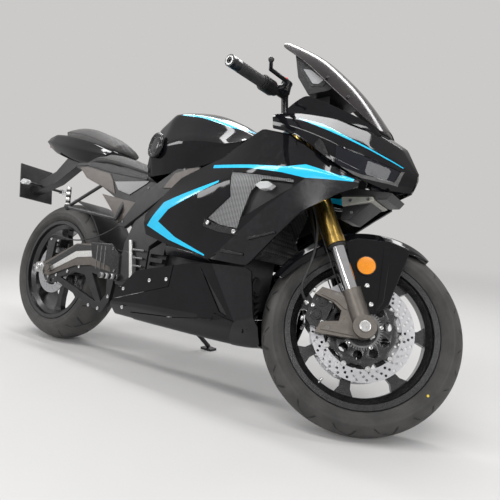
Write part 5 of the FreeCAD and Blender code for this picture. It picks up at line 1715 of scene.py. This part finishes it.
def drilled_ring(name, outer, inner, thickness, count, rows):
    """A disc with holes at (radius, degrees, hole radius) in each of its equal wedges."""
    half = 180 / count
    arc = [half * k / 3 for k in range(-3, 4)]
    outline = [polar(outer, a) for a in arc] + [polar(inner, a) for a in arc[::-1]]
    wedge = plate(name, outline, thickness, at=-thickness / 2)
    holes = []
    for radius, degrees, size in rows:
        x, z = polar(radius, degrees)
        holes.append(rod((x, -thickness, z), (x, thickness, z), size, 12))
    carve(wedge, join("holes", *holes))
    open_wedge(wedge, half)
    return smooth(tidy(copies(name, wedge, around(count))), 30)


def disc_carrier(name, lobes, hub, window_at, window, rim, seat_at, seat, thickness):
    """The disc's carrier with a window between each two of its arms."""
    half = 180 / lobes
    centre = Vector(polar(window_at, -half))
    outwards = Vector(polar(1, -half))
    inwards = Vector((-outwards.y, outwards.x))
    side = [Vector(polar(hub, -half * t)) for t in (0.33, 0.66, 1.0)]
    for step in range(9):
        turn = math.radians(step * 22.5)
        side.append(centre - outwards * window * math.cos(turn) + inwards * window * math.sin(turn))
    side += [Vector(polar(rim, -half)), Vector(polar(rim, -half * 0.55)), Vector((seat_at, -seat))]
    outline = [tuple(v) for v in side] + [(v.x, -v.y) for v in side[::-1]]
    wedge = plate(name, outline, thickness, at=-thickness / 2)
    open_wedge(wedge, half)
    ring = tidy(copies(name, wedge, around(lobes)))
    round_edges(ring, 0.8 * MM, degrees=40)
    return smooth(ring, 34)


def toothed_ring(name, teeth, inner, root, tip, thickness):
    half = 180 / teeth
    outline = [polar(inner, -half), polar(root, -half), polar(root, -half * 0.55), polar(tip, -half * 0.45),
               polar(tip, half * 0.45), polar(root, half * 0.55), polar(root, half), polar(inner, half)]
    wedge = open_wedge(plate(name, outline, thickness, at=-thickness / 2), half)
    return smooth(tidy(copies(name, wedge, around(teeth))), 30)


def bobbin():
    """A disc's float button: a cup with a washer behind it."""
    button = spun("button", ((0, -6.4), (3.4, -6.4), (3.8, -5.2), (5.6, -5.2), (6.2, -6.6), (7.4, -6.6),
                             (8.0, -5.8), (8.0, 5.8), (7.4, 6.6), (3.8, 6.6), (3.4, 5.4), (0, 5.4)), 20)
    return smooth(button, 40)


# How far the middle of each disc is from its wheel's middle; the rear one is on the right
FRONT_DISC_Y = 64
REAR_DISC_Y = -84


class MOTO_OT_brakes(bpy.types.Operator):
    """Drilled floating discs with their carriers, buttons, tone ring and bolts"""
    bl_idname = "moto.brakes"
    bl_label = "Brake discs"

    def execute(self, context):
        holes = context.scene.moto_fittings.disc_holes
        right, left = (FRONT_WHEEL @ shifted(y=side * FRONT_DISC_Y) for side in (RIGHT, LEFT))
        rotor = drilled_ring("rotor", outer=150, inner=113, thickness=5, count=holes,
                             rows=((122.5, -3.8, 3.9), (132.5, 0.0, 3.9), (142.5, 3.8, 3.9)))
        self.pair(rotor, "front_rotors", (right, left), "front_disc_steel", "front_discs")
        carrier = disc_carrier("carrier", lobes=10, hub=44, window_at=74, window=13.5, rim=101, seat_at=113,
                               seat=6.5, thickness=6)
        self.pair(carrier, "front_carriers", (right, left), "cast_black")
        buttons = copies("buttons", bobbin(), [turn @ shifted(x=112) for turn in around(10)])
        self.pair(buttons, "front_buttons", (right, left), "bare_steel")
        stem = spun("stem", ((46, -11), (46, 4), (34, 4), (30, 2), (30, -9), (34, -11)), 64, closed=True)
        turned_about = left @ Matrix.Rotation(math.pi, 4, "Z")
        self.pair(smooth(stem, 35), "front_disc_hubs", (right, turned_about), "cast_black")
        ring = toothed_ring("tone", teeth=48, inner=47, root=53, tip=60, thickness=1.6)
        stay_here(ring, "tone_ring", "dark_steel", (FRONT_WHEEL @ shifted(y=-69), "front_wheel"))
        spots = [((x, side * 67.2, z), (0, side, 0)) for x, z in (polar(56, 18 + 72 * k) for k in range(5))
                 for side in (RIGHT, LEFT)]
        bolts("front_disc_bolts", 6, 4.5, spots, FRONT)
        spacer = spun("spacer", ((13, -76), (19, -76), (21, -74), (21, -62), (28, -60), (28, -56), (13, -56)),
                      40, closed=True)
        stay_here(mirror(smooth(spacer, 35)), "front_spacers", "bare_steel", FRONT)

        rear = (REAR_WHEEL @ shifted(y=REAR_DISC_Y), "rear_wheel")
        rotor = drilled_ring("rotor", outer=110, inner=74, thickness=5, count=24,
                             rows=((83, -5, 2.6), (92.5, 0.0, 2.6), (102, 4.4, 2.6)))
        stay_here(rotor, "rear_rotor", "rear_disc_steel", rear, "rear_disc")
        carrier = disc_carrier("carrier", lobes=6, hub=34, window_at=54, window=10, rim=66, seat_at=76,
                               seat=9, thickness=6)
        stay_here(carrier, "rear_carrier", "cast_black", rear)
        for name, radius, height, ring, y in (("rear_disc_bolts", 6.5, 5, 46, -87.4),
                                              ("rear_disc_rivets", 5, 2.5, 74, -86.6)):
            spots = [((x, y, z), (0, -1, 0)) for x, z in (polar(ring, 60 * k) for k in range(6))]
            bolts(name, radius, height, spots, REAR)
        return {"FINISHED"}

    def pair(self, piece, name, places, finish_name, *nodes):
        """One piece at two places that already hold the wheel's own."""
        stay_here(tidy(copies(name, piece, places)), name, finish_name, (Matrix(), "front_wheel"), *nodes)


VALVE = ((0, 0), (5, 0), (5, 3), (3.4, 5), (3.4, 16), (4.2, 17), (4.2, 27), (3.4, 28), (0, 28))


class MOTO_OT_wheels(bpy.types.Operator):
    """Valves, the balance mark on the front tyre and the rear wheel's bearing cover"""
    bl_idname = "moto.wheels"
    bl_label = "Wheel fittings"

    def execute(self, context):
        for name, home, degrees, y in (("front_valve", FRONT, -118, -22), ("rear_valve", REAR, 150, -30)):
            x, z = polar(206, degrees)
            valve = turned_bar(name, VALVE, (x, y, z), (-x, -6, -z), 16)
            stay_here(smooth(valve, 40), name, "bare_steel", home)
        x, z = polar(250, -34)
        dot = turned_bar("dot", ((0, 0.7), (3.4, 0.6), (4.0, -1.2)), (x, -59.2, z), (0, -1, 0), 20)
        stay_here(dot, "tyre_dot", "dot_yellow", FRONT)
        cover = spun("cover", ((13, -86), (26, -86), (30, -83), (34, -83), (34, -74), (13, -74)), 48,
                     closed=True)
        stay_here(smooth(cover, 35), "rear_bearing_cover", "dark_steel", REAR)
        return {"FINISHED"}


# Cast and machined solids that keep their shape: node, name, body, finish, rounding of the edges

ROUNDED = (
    ("fork_feet", "fork_castings", "steering", "gunmetal", 2.0),
    ("front_calipers", "caliper_bodies", "steering", "cast_black", 1.8),
    ("lower_yoke", "lower_yoke_casting", "steering", "cast_black", 1.2),
    ("upper_yoke", "upper_yoke_casting", "steering", "cast_black", 1.2),
    ("handlebars", "bar_tubes", "steering", "cast_black", 0.8),
    ("switch_housings", "switch_bodies", "steering", "satin_black", 1.5),
    ("fork_tubes", "fork_outers", "steering", "gold_tube", 1.0),
    ("swingarm", "swingarm_arms", "chassis", "gunmetal", 2.2),
    ("swingarm_braces", "brace_plates", "chassis", "satin_black", 1.4),
    ("seat_frame", "rear_frame", "chassis", "satin_black", 1.4),
    ("footrests", "footrest_plates", "chassis", "frame_coat", 1.2),
    ("main_frame", "frame_beams", "chassis", "frame_coat", 2.0),
    ("power_unit", "power_block", "chassis", "satin_black", 2.0),
    ("plate_hanger", "plate_arm", "chassis", "satin_black", 1.2),
    ("rear_caliper", "rear_caliper_body", "chassis", "cast_black", 1.6),
    ("rear_mudguard", "rear_guard", "chassis", "satin_black", 1.0),
    ("finned_cover", "finned_block", "chassis", "satin_black", 0.8),
    ("radiator", "radiator_block", "chassis", "radiator_core", 0.8),
    ("rear_axle_and_pivot_bolt", "axle_blocks", "chassis", "bare_steel", 1.0),
    ("instrument_display", "display_box", "chassis", "satin_black", 2.5),
    ("nose_stay", "nose_stay_arm", "chassis", "satin_black", 1.2),
    ("side_stand", "stand_leg", "side_stand", "frame_coat", 1.0),
    ("tail_lamp", "tail_lamp_lens", "chassis", "red_lens", 1.5),
)


class MOTO_OT_castings(bpy.types.Operator):
    """Frame, swingarm, fork and other machined pieces with rounded edges"""
    bl_idname = "moto.castings"
    bl_label = "Castings"

    def execute(self, context):
        factor = context.scene.moto_fittings.edge_round / 0.0008
        for node, name, body, finish_name, edge in ROUNDED:
            refine(node, name, body, finish_name, edge * factor)
        return {"FINISHED"}


# Fork: points as ahead of the fork's line, left, and up along it from the axle

CALIPER_OUT = polar(1, 140)


def on_caliper(radius, sideways, y):
    """A point by its radius from the axle and its distance along the disc's rim."""
    return (radius * CALIPER_OUT[0] - sideways * CALIPER_OUT[1], y,
            radius * CALIPER_OUT[1] + sideways * CALIPER_OUT[0])


# name, finish, points, direction, steps, profile
FORK_TURNINGS = (
    ("fork_seals", "soft_rubber", ((0, 106, 249),), (0, 0, 1), 48,
     ((21.6, 0), (24, 0), (26.5, 3), (26.5, 8), (25, 9.6), (21.6, 9.6))),
    ("fork_caps", "cast_black", ((0, 106, 745),), (0, 0, 1), 48,
     ((0, 9), (9, 9), (9.6, 7), (17, 6.4), (22, 5), (25.5, 2), (25.5, 0), (0, 0))),
    ("fork_adjusters", "gold_tube", ((0, 106, 745),), (0, 0, 1), 6,
     ((0, 15), (7, 15), (8.2, 13), (8.2, 8), (0, 8))),
    ("fork_bands", "gold_tube", ((0, 106, 286), (0, 106, 292)), (0, 0, 1), 48,
     ((27.0, 0), (28.1, 0.6), (28.1, 2.4), (27.0, 3))),
    ("hose_ends", "bare_steel", ((-132, 90, 112),), (-0.5, 0.3, 0.8), 20,
     ((0, 12), (5, 12), (5.6, 11), (5.6, 7), (8.2, 6.6), (8.2, 0), (0, 0))),
)
BULGES = ("caliper_bulges", "cast_black", (on_caliper(137, -24, 97), on_caliper(137, 20, 97)), (0, 1, 0), 32,
          ((0, 5), (9, 5), (10, 3.4), (14.5, 3.4), (17, 1.6), (17.6, -1), (0, -1)))
STEM_NUT = ((0, 12), (9, 12), (10, 11), (10, 8), (18, 8), (20, 6), (20, 0), (0, 0))
# On the steered motorcycle's own axes, unlike the rest of the fork
REFLECTORS = (
    ("reflector_lenses", "orange_lens", ((1415, 78, 490),), (0, 1, 0), 40,
     ((0, 8.6), (16, 7.8), (27, 6.4), (28, 4), (0, 4)), "fork_reflectors"),
    ("reflector_rims", "satin_black", ((1415, 78, 490),), (0, 1, 0), 40,
     ((0, 0.2), (30, 0.2), (31, 1.6), (31, 5.4), (29.6, 7), (28, 6.2), (27.8, 3), (0, 3))),
)
# name, radius, height, finish, direction, points
FORK_SCREWS = (
    ("caliper_bolts", 8, 7, "bare_steel", (CALIPER_OUT[0], 0, CALIPER_OUT[1]), on_caliper(166, 46, 95),
     on_caliper(166, -46, 95)),
    ("caliper_body_bolts", 5.5, 4.5, "bare_steel", (0, 1, 0), on_caliper(113, -34, 97),
     on_caliper(113, 34, 97), on_caliper(157, -1, 97)),
    ("axle_pinch_bolts", 6, 6, "bare_steel", (0.35, 0, -1), (14, 94, -30), (14, 118, -30)),
    ("axle_heads", 16, 5, "bare_steel", (0, 1, 0), (0, 136.5, 0)),
    ("yoke_pinch_bolts", 5, 5, "bare_steel", (0.1, 1, 0), (16, 142, 512), (16, 142, 528), (16, 142, 690)),
    ("pinch_bolts", 5, 4, "dark_steel", (0, 1, 0), (-46, 112, 112), (-100, 112, 26)),
)
# Raised webs along the arms that carry the calipers
ARM_WEBS = ("fork_arm_webs", "gunmetal", 110, 115.5, 2.2,
            ((-2, 96), (-30, 102), (-74, 132), (-90, 124), (-54, 92), (-36, 62), (-30, 60), (-16, 84)),
            ((-6, -22), (-26, -20), (-72, 2), (-122, 27), (-110, 38), (-62, 24), (-42, 40), (-22, 12)))
# name, radius, points, solid
HOSES = (
    ("brake_hoses", 4.2, ((-14, 66, 507.5), (-22, 74, 400), (-44, 118, 300), (-92, 122, 215),
                          (-150, 108, 150), (-132, 92, 116)), "front_brake_hoses"),
    ("sensor_wires", 2, ((-34, 100, 470), (-33, 98, 380), (-31, 96, 250), (-30, 92, 150), (-20, 80, 82),
                         (4, 76, 62))),
)


class MOTO_OT_fork(bpy.types.Operator):
    """Seals, caps, caliper covers, bolts, hoses and reflectors of the fork"""
    bl_idname = "moto.fork"
    bl_label = "Fork"

    def execute(self, context):
        turnings(FORK_TURNINGS, FORK_LINE)
        turnings((BULGES,), FORK_LINE, 32)
        turnings(REFLECTORS, STEERING, 30)
        stem = turned_bar("stem_nut", STEM_NUT, (-FORK_OFFSET, 0, 706), (0, 0, 1), 32)
        stay_here(smooth(stem, 35), "stem_nut", "bare_steel", FORK_LINE)
        screws(FORK_SCREWS, FORK_LINE)
        side_slabs((ARM_WEBS,), FORK_LINE)
        for name, radius, points, *nodes in HOSES:
            runs = [hose(name, [(ahead, side * y, up) for ahead, y, up in points], radius)
                    for side in (RIGHT, LEFT)]
            stay_here(join(name, *runs), name, "soft_rubber", FORK_LINE, *nodes)
        return {"FINISHED"}


# Degrees from straight ahead towards up; then radius and half width of crown, shoulder, bend and hem
GUARD_STATIONS = (
    (57, 314, 0, 312, 22, 306, 34, 300, 40), (64, 315, 0, 311, 44, 292, 64, 282, 68),
    (78, 315, 0, 311, 56, 284, 78, 262, 78), (100, 315, 0, 311, 56, 282, 78, 252, 78),
    (124, 315, 0, 311, 56, 282, 78, 252, 78), (144, 315, 0, 311, 56, 284, 78, 262, 78),
    (159, 314, 0, 311, 50, 290, 70, 280, 72),
)
GUARD_STAY = ((100, 262), (62, 84), (30, 52), (-6, 44), (-28, 62), (-44, 120), (-92, 254), (-60, 272),
              (40, 280))
GUARD_RIB = ((44, 262), (46, 90), (30, 60), (22, 64), (30, 96), (22, 262))
GUARD_SCREWS = ("guard_screws", 6.5, 4, "bare_steel", (0, 1, 0), (-8, 79.5, 130), (12, 79.5, 76))


class MOTO_OT_mudguard(bpy.types.Operator):
    """Front mudguard with its peak, ridge, side stays and screws"""
    bl_idname = "moto.mudguard"
    bl_label = "Front mudguard"

    def execute(self, context):
        rows = []
        for degrees, *line in GUARD_STATIONS:
            half = []
            for radius, y in zip(line[::2], line[1::2]):
                x, z = polar(radius, degrees)
                half.append((x, y, z))
            rows.append([(x, -y, z) for x, y, z in half[:0:-1]] + half)
        skin = sheet("guard", rows)
        for column, value in ((3, 0.9), (2, 0.55), (4, 0.55), (1, 0.8), (5, 0.8)):
            crease(skin, value, near_points(row[column] for row in rows))
        hold_rim(skin, 0.7)
        subdivide(skin, 3)
        tidy(skin)
        face_outwards(skin, lambda face: face.normal.dot(face.center))
        thicken(skin, 0.0035, 0.0008)
        stay_here(skin, "front_guard", "gloss_black", GUARD, "front_mudguard")
        stays = slab("stay", GUARD_STAY, -74.5, -79.5, 1.2)
        rib = slab("rib", GUARD_RIB, -79, -82, 1.0)
        stay_here(mirror(join("stay", stays, rib)), "guard_stays", "gloss_black", GUARD)
        screws((GUARD_SCREWS,), GUARD)
        return {"FINISHED"}


# Camera: turn, tilt and roll in degrees, and its place in metres from the rear wheel's foot
CAMERA_ANGLES = (123.94, -5.50, 2.50)
CAMERA_PLACE = (1.9238, -1.2691, 0.6550)
# place, target, width, height, power
LAMPS = (
    ((0.2, -1.5, 3.3), (0.1, -0.5, 0.5), 5.2, 0.30, 62),
    ((0.0, 0.3, 3.6), (0.0, 0.2, 0.5), 5.2, 0.30, 62),
    ((-0.2, 2.2, 3.1), (0, 0.3, 0.5), 4.4, 0.35, 50),
    ((3.6, -1.6, 1.5), (0.6, -0.1, 0.4), 0.7, 1.6, 26),
    ((-3.2, -2.6, 2.4), (-0.4, 0, 0.4), 0.9, 1.4, 42),
    ((0.9, -4.6, 2.2), (0.2, 0, 0.5), 3.0, 0.35, 58),
)


class MOTO_OT_stage(bpy.types.Operator):
    """Camera, lamps, world and floor"""
    bl_idname = "moto.stage"
    bl_label = "Stage"

    def execute(self, context):
        studio = context.scene.moto_studio
        self.camera(context, studio.lens)
        self.lamps()
        self.floor(tuple(studio.floor_colour))
        self.world(context.scene, tuple(studio.floor_colour))
        return {"FINISHED"}

    def camera(self, context, lens):
        yaw, pitch, roll = (math.radians(angle) for angle in CAMERA_ANGLES)
        origin = UPRIGHT.to_translation()
        ahead = Vector((math.cos(pitch) * math.cos(yaw), math.cos(pitch) * math.sin(yaw), math.sin(pitch)))
        right = ahead.cross(Vector((0, 0, 1))).normalized()
        up = right.cross(ahead)
        x_axis = right * math.cos(roll) + up * math.sin(roll)
        y_axis = up * math.cos(roll) - right * math.sin(roll)
        data = bpy.data.cameras.new("camera")
        data.lens = lens
        data.sensor_width = 36
        data.clip_start = 0.02
        camera = bpy.data.objects.new("camera", data)
        x, y, height = CAMERA_PLACE
        camera.matrix_world = axes_matrix(x_axis, y_axis, -ahead, (origin.x + x, origin.y + y, height))
        context.scene.collection.objects.link(camera)
        context.scene.camera = camera

    def lamps(self):
        for index, (place, target, width, height, power) in enumerate(LAMPS):
            data = bpy.data.lights.new(f"lamp_{index}", "AREA")
            data.shape = "RECTANGLE"
            data.size, data.size_y, data.energy = width, height, power
            lamp = bpy.data.objects.new(f"lamp_{index}", data)
            lamp.location = place
            aim = (Vector(target) - Vector(place)).to_track_quat("-Z", "Y")
            lamp.rotation_euler = aim.to_euler()
            bpy.context.scene.collection.objects.link(lamp)

    def seen_directly(self, tree):
        path = tree.nodes.new("ShaderNodeLightPath")
        return maths(tree, "MAXIMUM", path.outputs["Is Camera Ray"],
                     maths(tree, "MAXIMUM", path.outputs["Is Glossy Ray"],
                           path.outputs["Is Transmission Ray"]))

    def floor(self, colour):
        """A floor that goes over into the backdrop's colour some metres away."""
        rest()
        bpy.ops.mesh.primitive_plane_add(size=60, location=(0, 0, 0))
        floor = bpy.context.object
        floor.name = "studio_floor"
        material = bpy.data.materials.new("studio_floor")
        material.use_nodes = True
        tree = material.node_tree
        shader = tree.nodes["Principled BSDF"]
        vector = local_vector(tree)
        tone = place_group(tree, "Surface tone", Vector=vector, First=colour,
                           Second=tuple(v * 1.01 for v in colour), Scale=0.8, Smoothest=0.55, Roughest=0.62)
        wire(tree, tone.outputs["Color"], shader.inputs["Base Color"])
        wire(tree, tone.outputs["Roughness"], shader.inputs["Roughness"])
        shader.inputs["Specular IOR Level"].default_value = 0.25
        length = tree.nodes.new("ShaderNodeVectorMath")
        length.operation = "LENGTH"
        wire(tree, vector, length.inputs[0])
        far = ramp(tree, length.outputs["Value"], 1.6, 5.0)
        backdrop = tree.nodes.new("ShaderNodeEmission")
        backdrop.inputs["Color"].default_value = (*colour, 1)
        blend = tree.nodes.new("ShaderNodeMixShader")
        wire(tree, maths(tree, "MULTIPLY", far, self.seen_directly(tree)), blend.inputs[0])
        wire(tree, shader.outputs[0], blend.inputs[1])
        wire(tree, backdrop.outputs[0], blend.inputs[2])
        wire(tree, blend.outputs[0], tree.nodes["Material Output"].inputs["Surface"])
        floor.data.materials.append(material)

    def world(self, scene, colour):
        world = bpy.data.worlds.new("studio")
        scene.world = world
        world.use_nodes = True
        tree = world.node_tree
        tree.nodes.clear()
        out = tree.nodes.new("ShaderNodeOutputWorld")
        seen = tree.nodes.new("ShaderNodeBackground")
        seen.inputs["Color"].default_value = (*colour, 1)
        light = tree.nodes.new("ShaderNodeBackground")
        light.inputs["Color"].default_value = (0.95, 0.97, 1.0, 1)
        light.inputs["Strength"].default_value = 0.42
        mix = tree.nodes.new("ShaderNodeMixShader")
        wire(tree, self.seen_directly(tree), mix.inputs[0])
        wire(tree, light.outputs[0], mix.inputs[1])
        wire(tree, seen.outputs[0], mix.inputs[2])
        wire(tree, mix.outputs[0], out.inputs["Surface"])
        scene.view_settings.view_transform = "Standard"


SETTINGS = (("moto_paint", PaintSettings), ("moto_fittings", FittingSettings),
            ("moto_studio", StudioSettings))
OPERATORS = (MOTO_OT_fairing, MOTO_OT_belly, MOTO_OT_nose, MOTO_OT_screen, MOTO_OT_tank, MOTO_OT_tail,
             MOTO_OT_seats, MOTO_OT_rear, MOTO_OT_chain, MOTO_OT_controls, MOTO_OT_intakes, MOTO_OT_tyres,
             MOTO_OT_brakes, MOTO_OT_wheels, MOTO_OT_castings, MOTO_OT_fork, MOTO_OT_mudguard, MOTO_OT_stage)


class MOTO_PT_panel(bpy.types.Panel):
    """Sizes, colours and pieces of the motorcycle"""
    bl_idname = "MOTO_PT_panel"
    bl_label = "Motorcycle"
    bl_space_type = "VIEW_3D"
    bl_region_type = "UI"
    bl_category = "Motorcycle"

    def draw(self, context):
        for name, kind in SETTINGS:
            box = self.layout.box()
            for label in kind.__annotations__:
                box.prop(getattr(context.scene, name), label)
        for operator in OPERATORS:
            self.layout.operator(operator.bl_idname)


def register():
    for name, kind in SETTINGS:
        bpy.utils.register_class(kind)
        setattr(bpy.types.Scene, name, bpy.props.PointerProperty(type=kind))
    for kind in OPERATORS + (MOTO_PT_panel,):
        bpy.utils.register_class(kind)


def unregister():
    for kind in (MOTO_PT_panel,) + OPERATORS[::-1]:
        bpy.utils.unregister_class(kind)
    for name, kind in SETTINGS[::-1]:
        delattr(bpy.types.Scene, name)
        bpy.utils.unregister_class(kind)


def main():
    register()
    build_groups()
    build_finishes(bpy.context.scene.moto_paint)
    show_solids()
    for operator in OPERATORS:
        space, name = operator.bl_idname.split(".")
        getattr(getattr(bpy.ops, space), name)()
    rest()


if __name__ == "__main__":
    main()
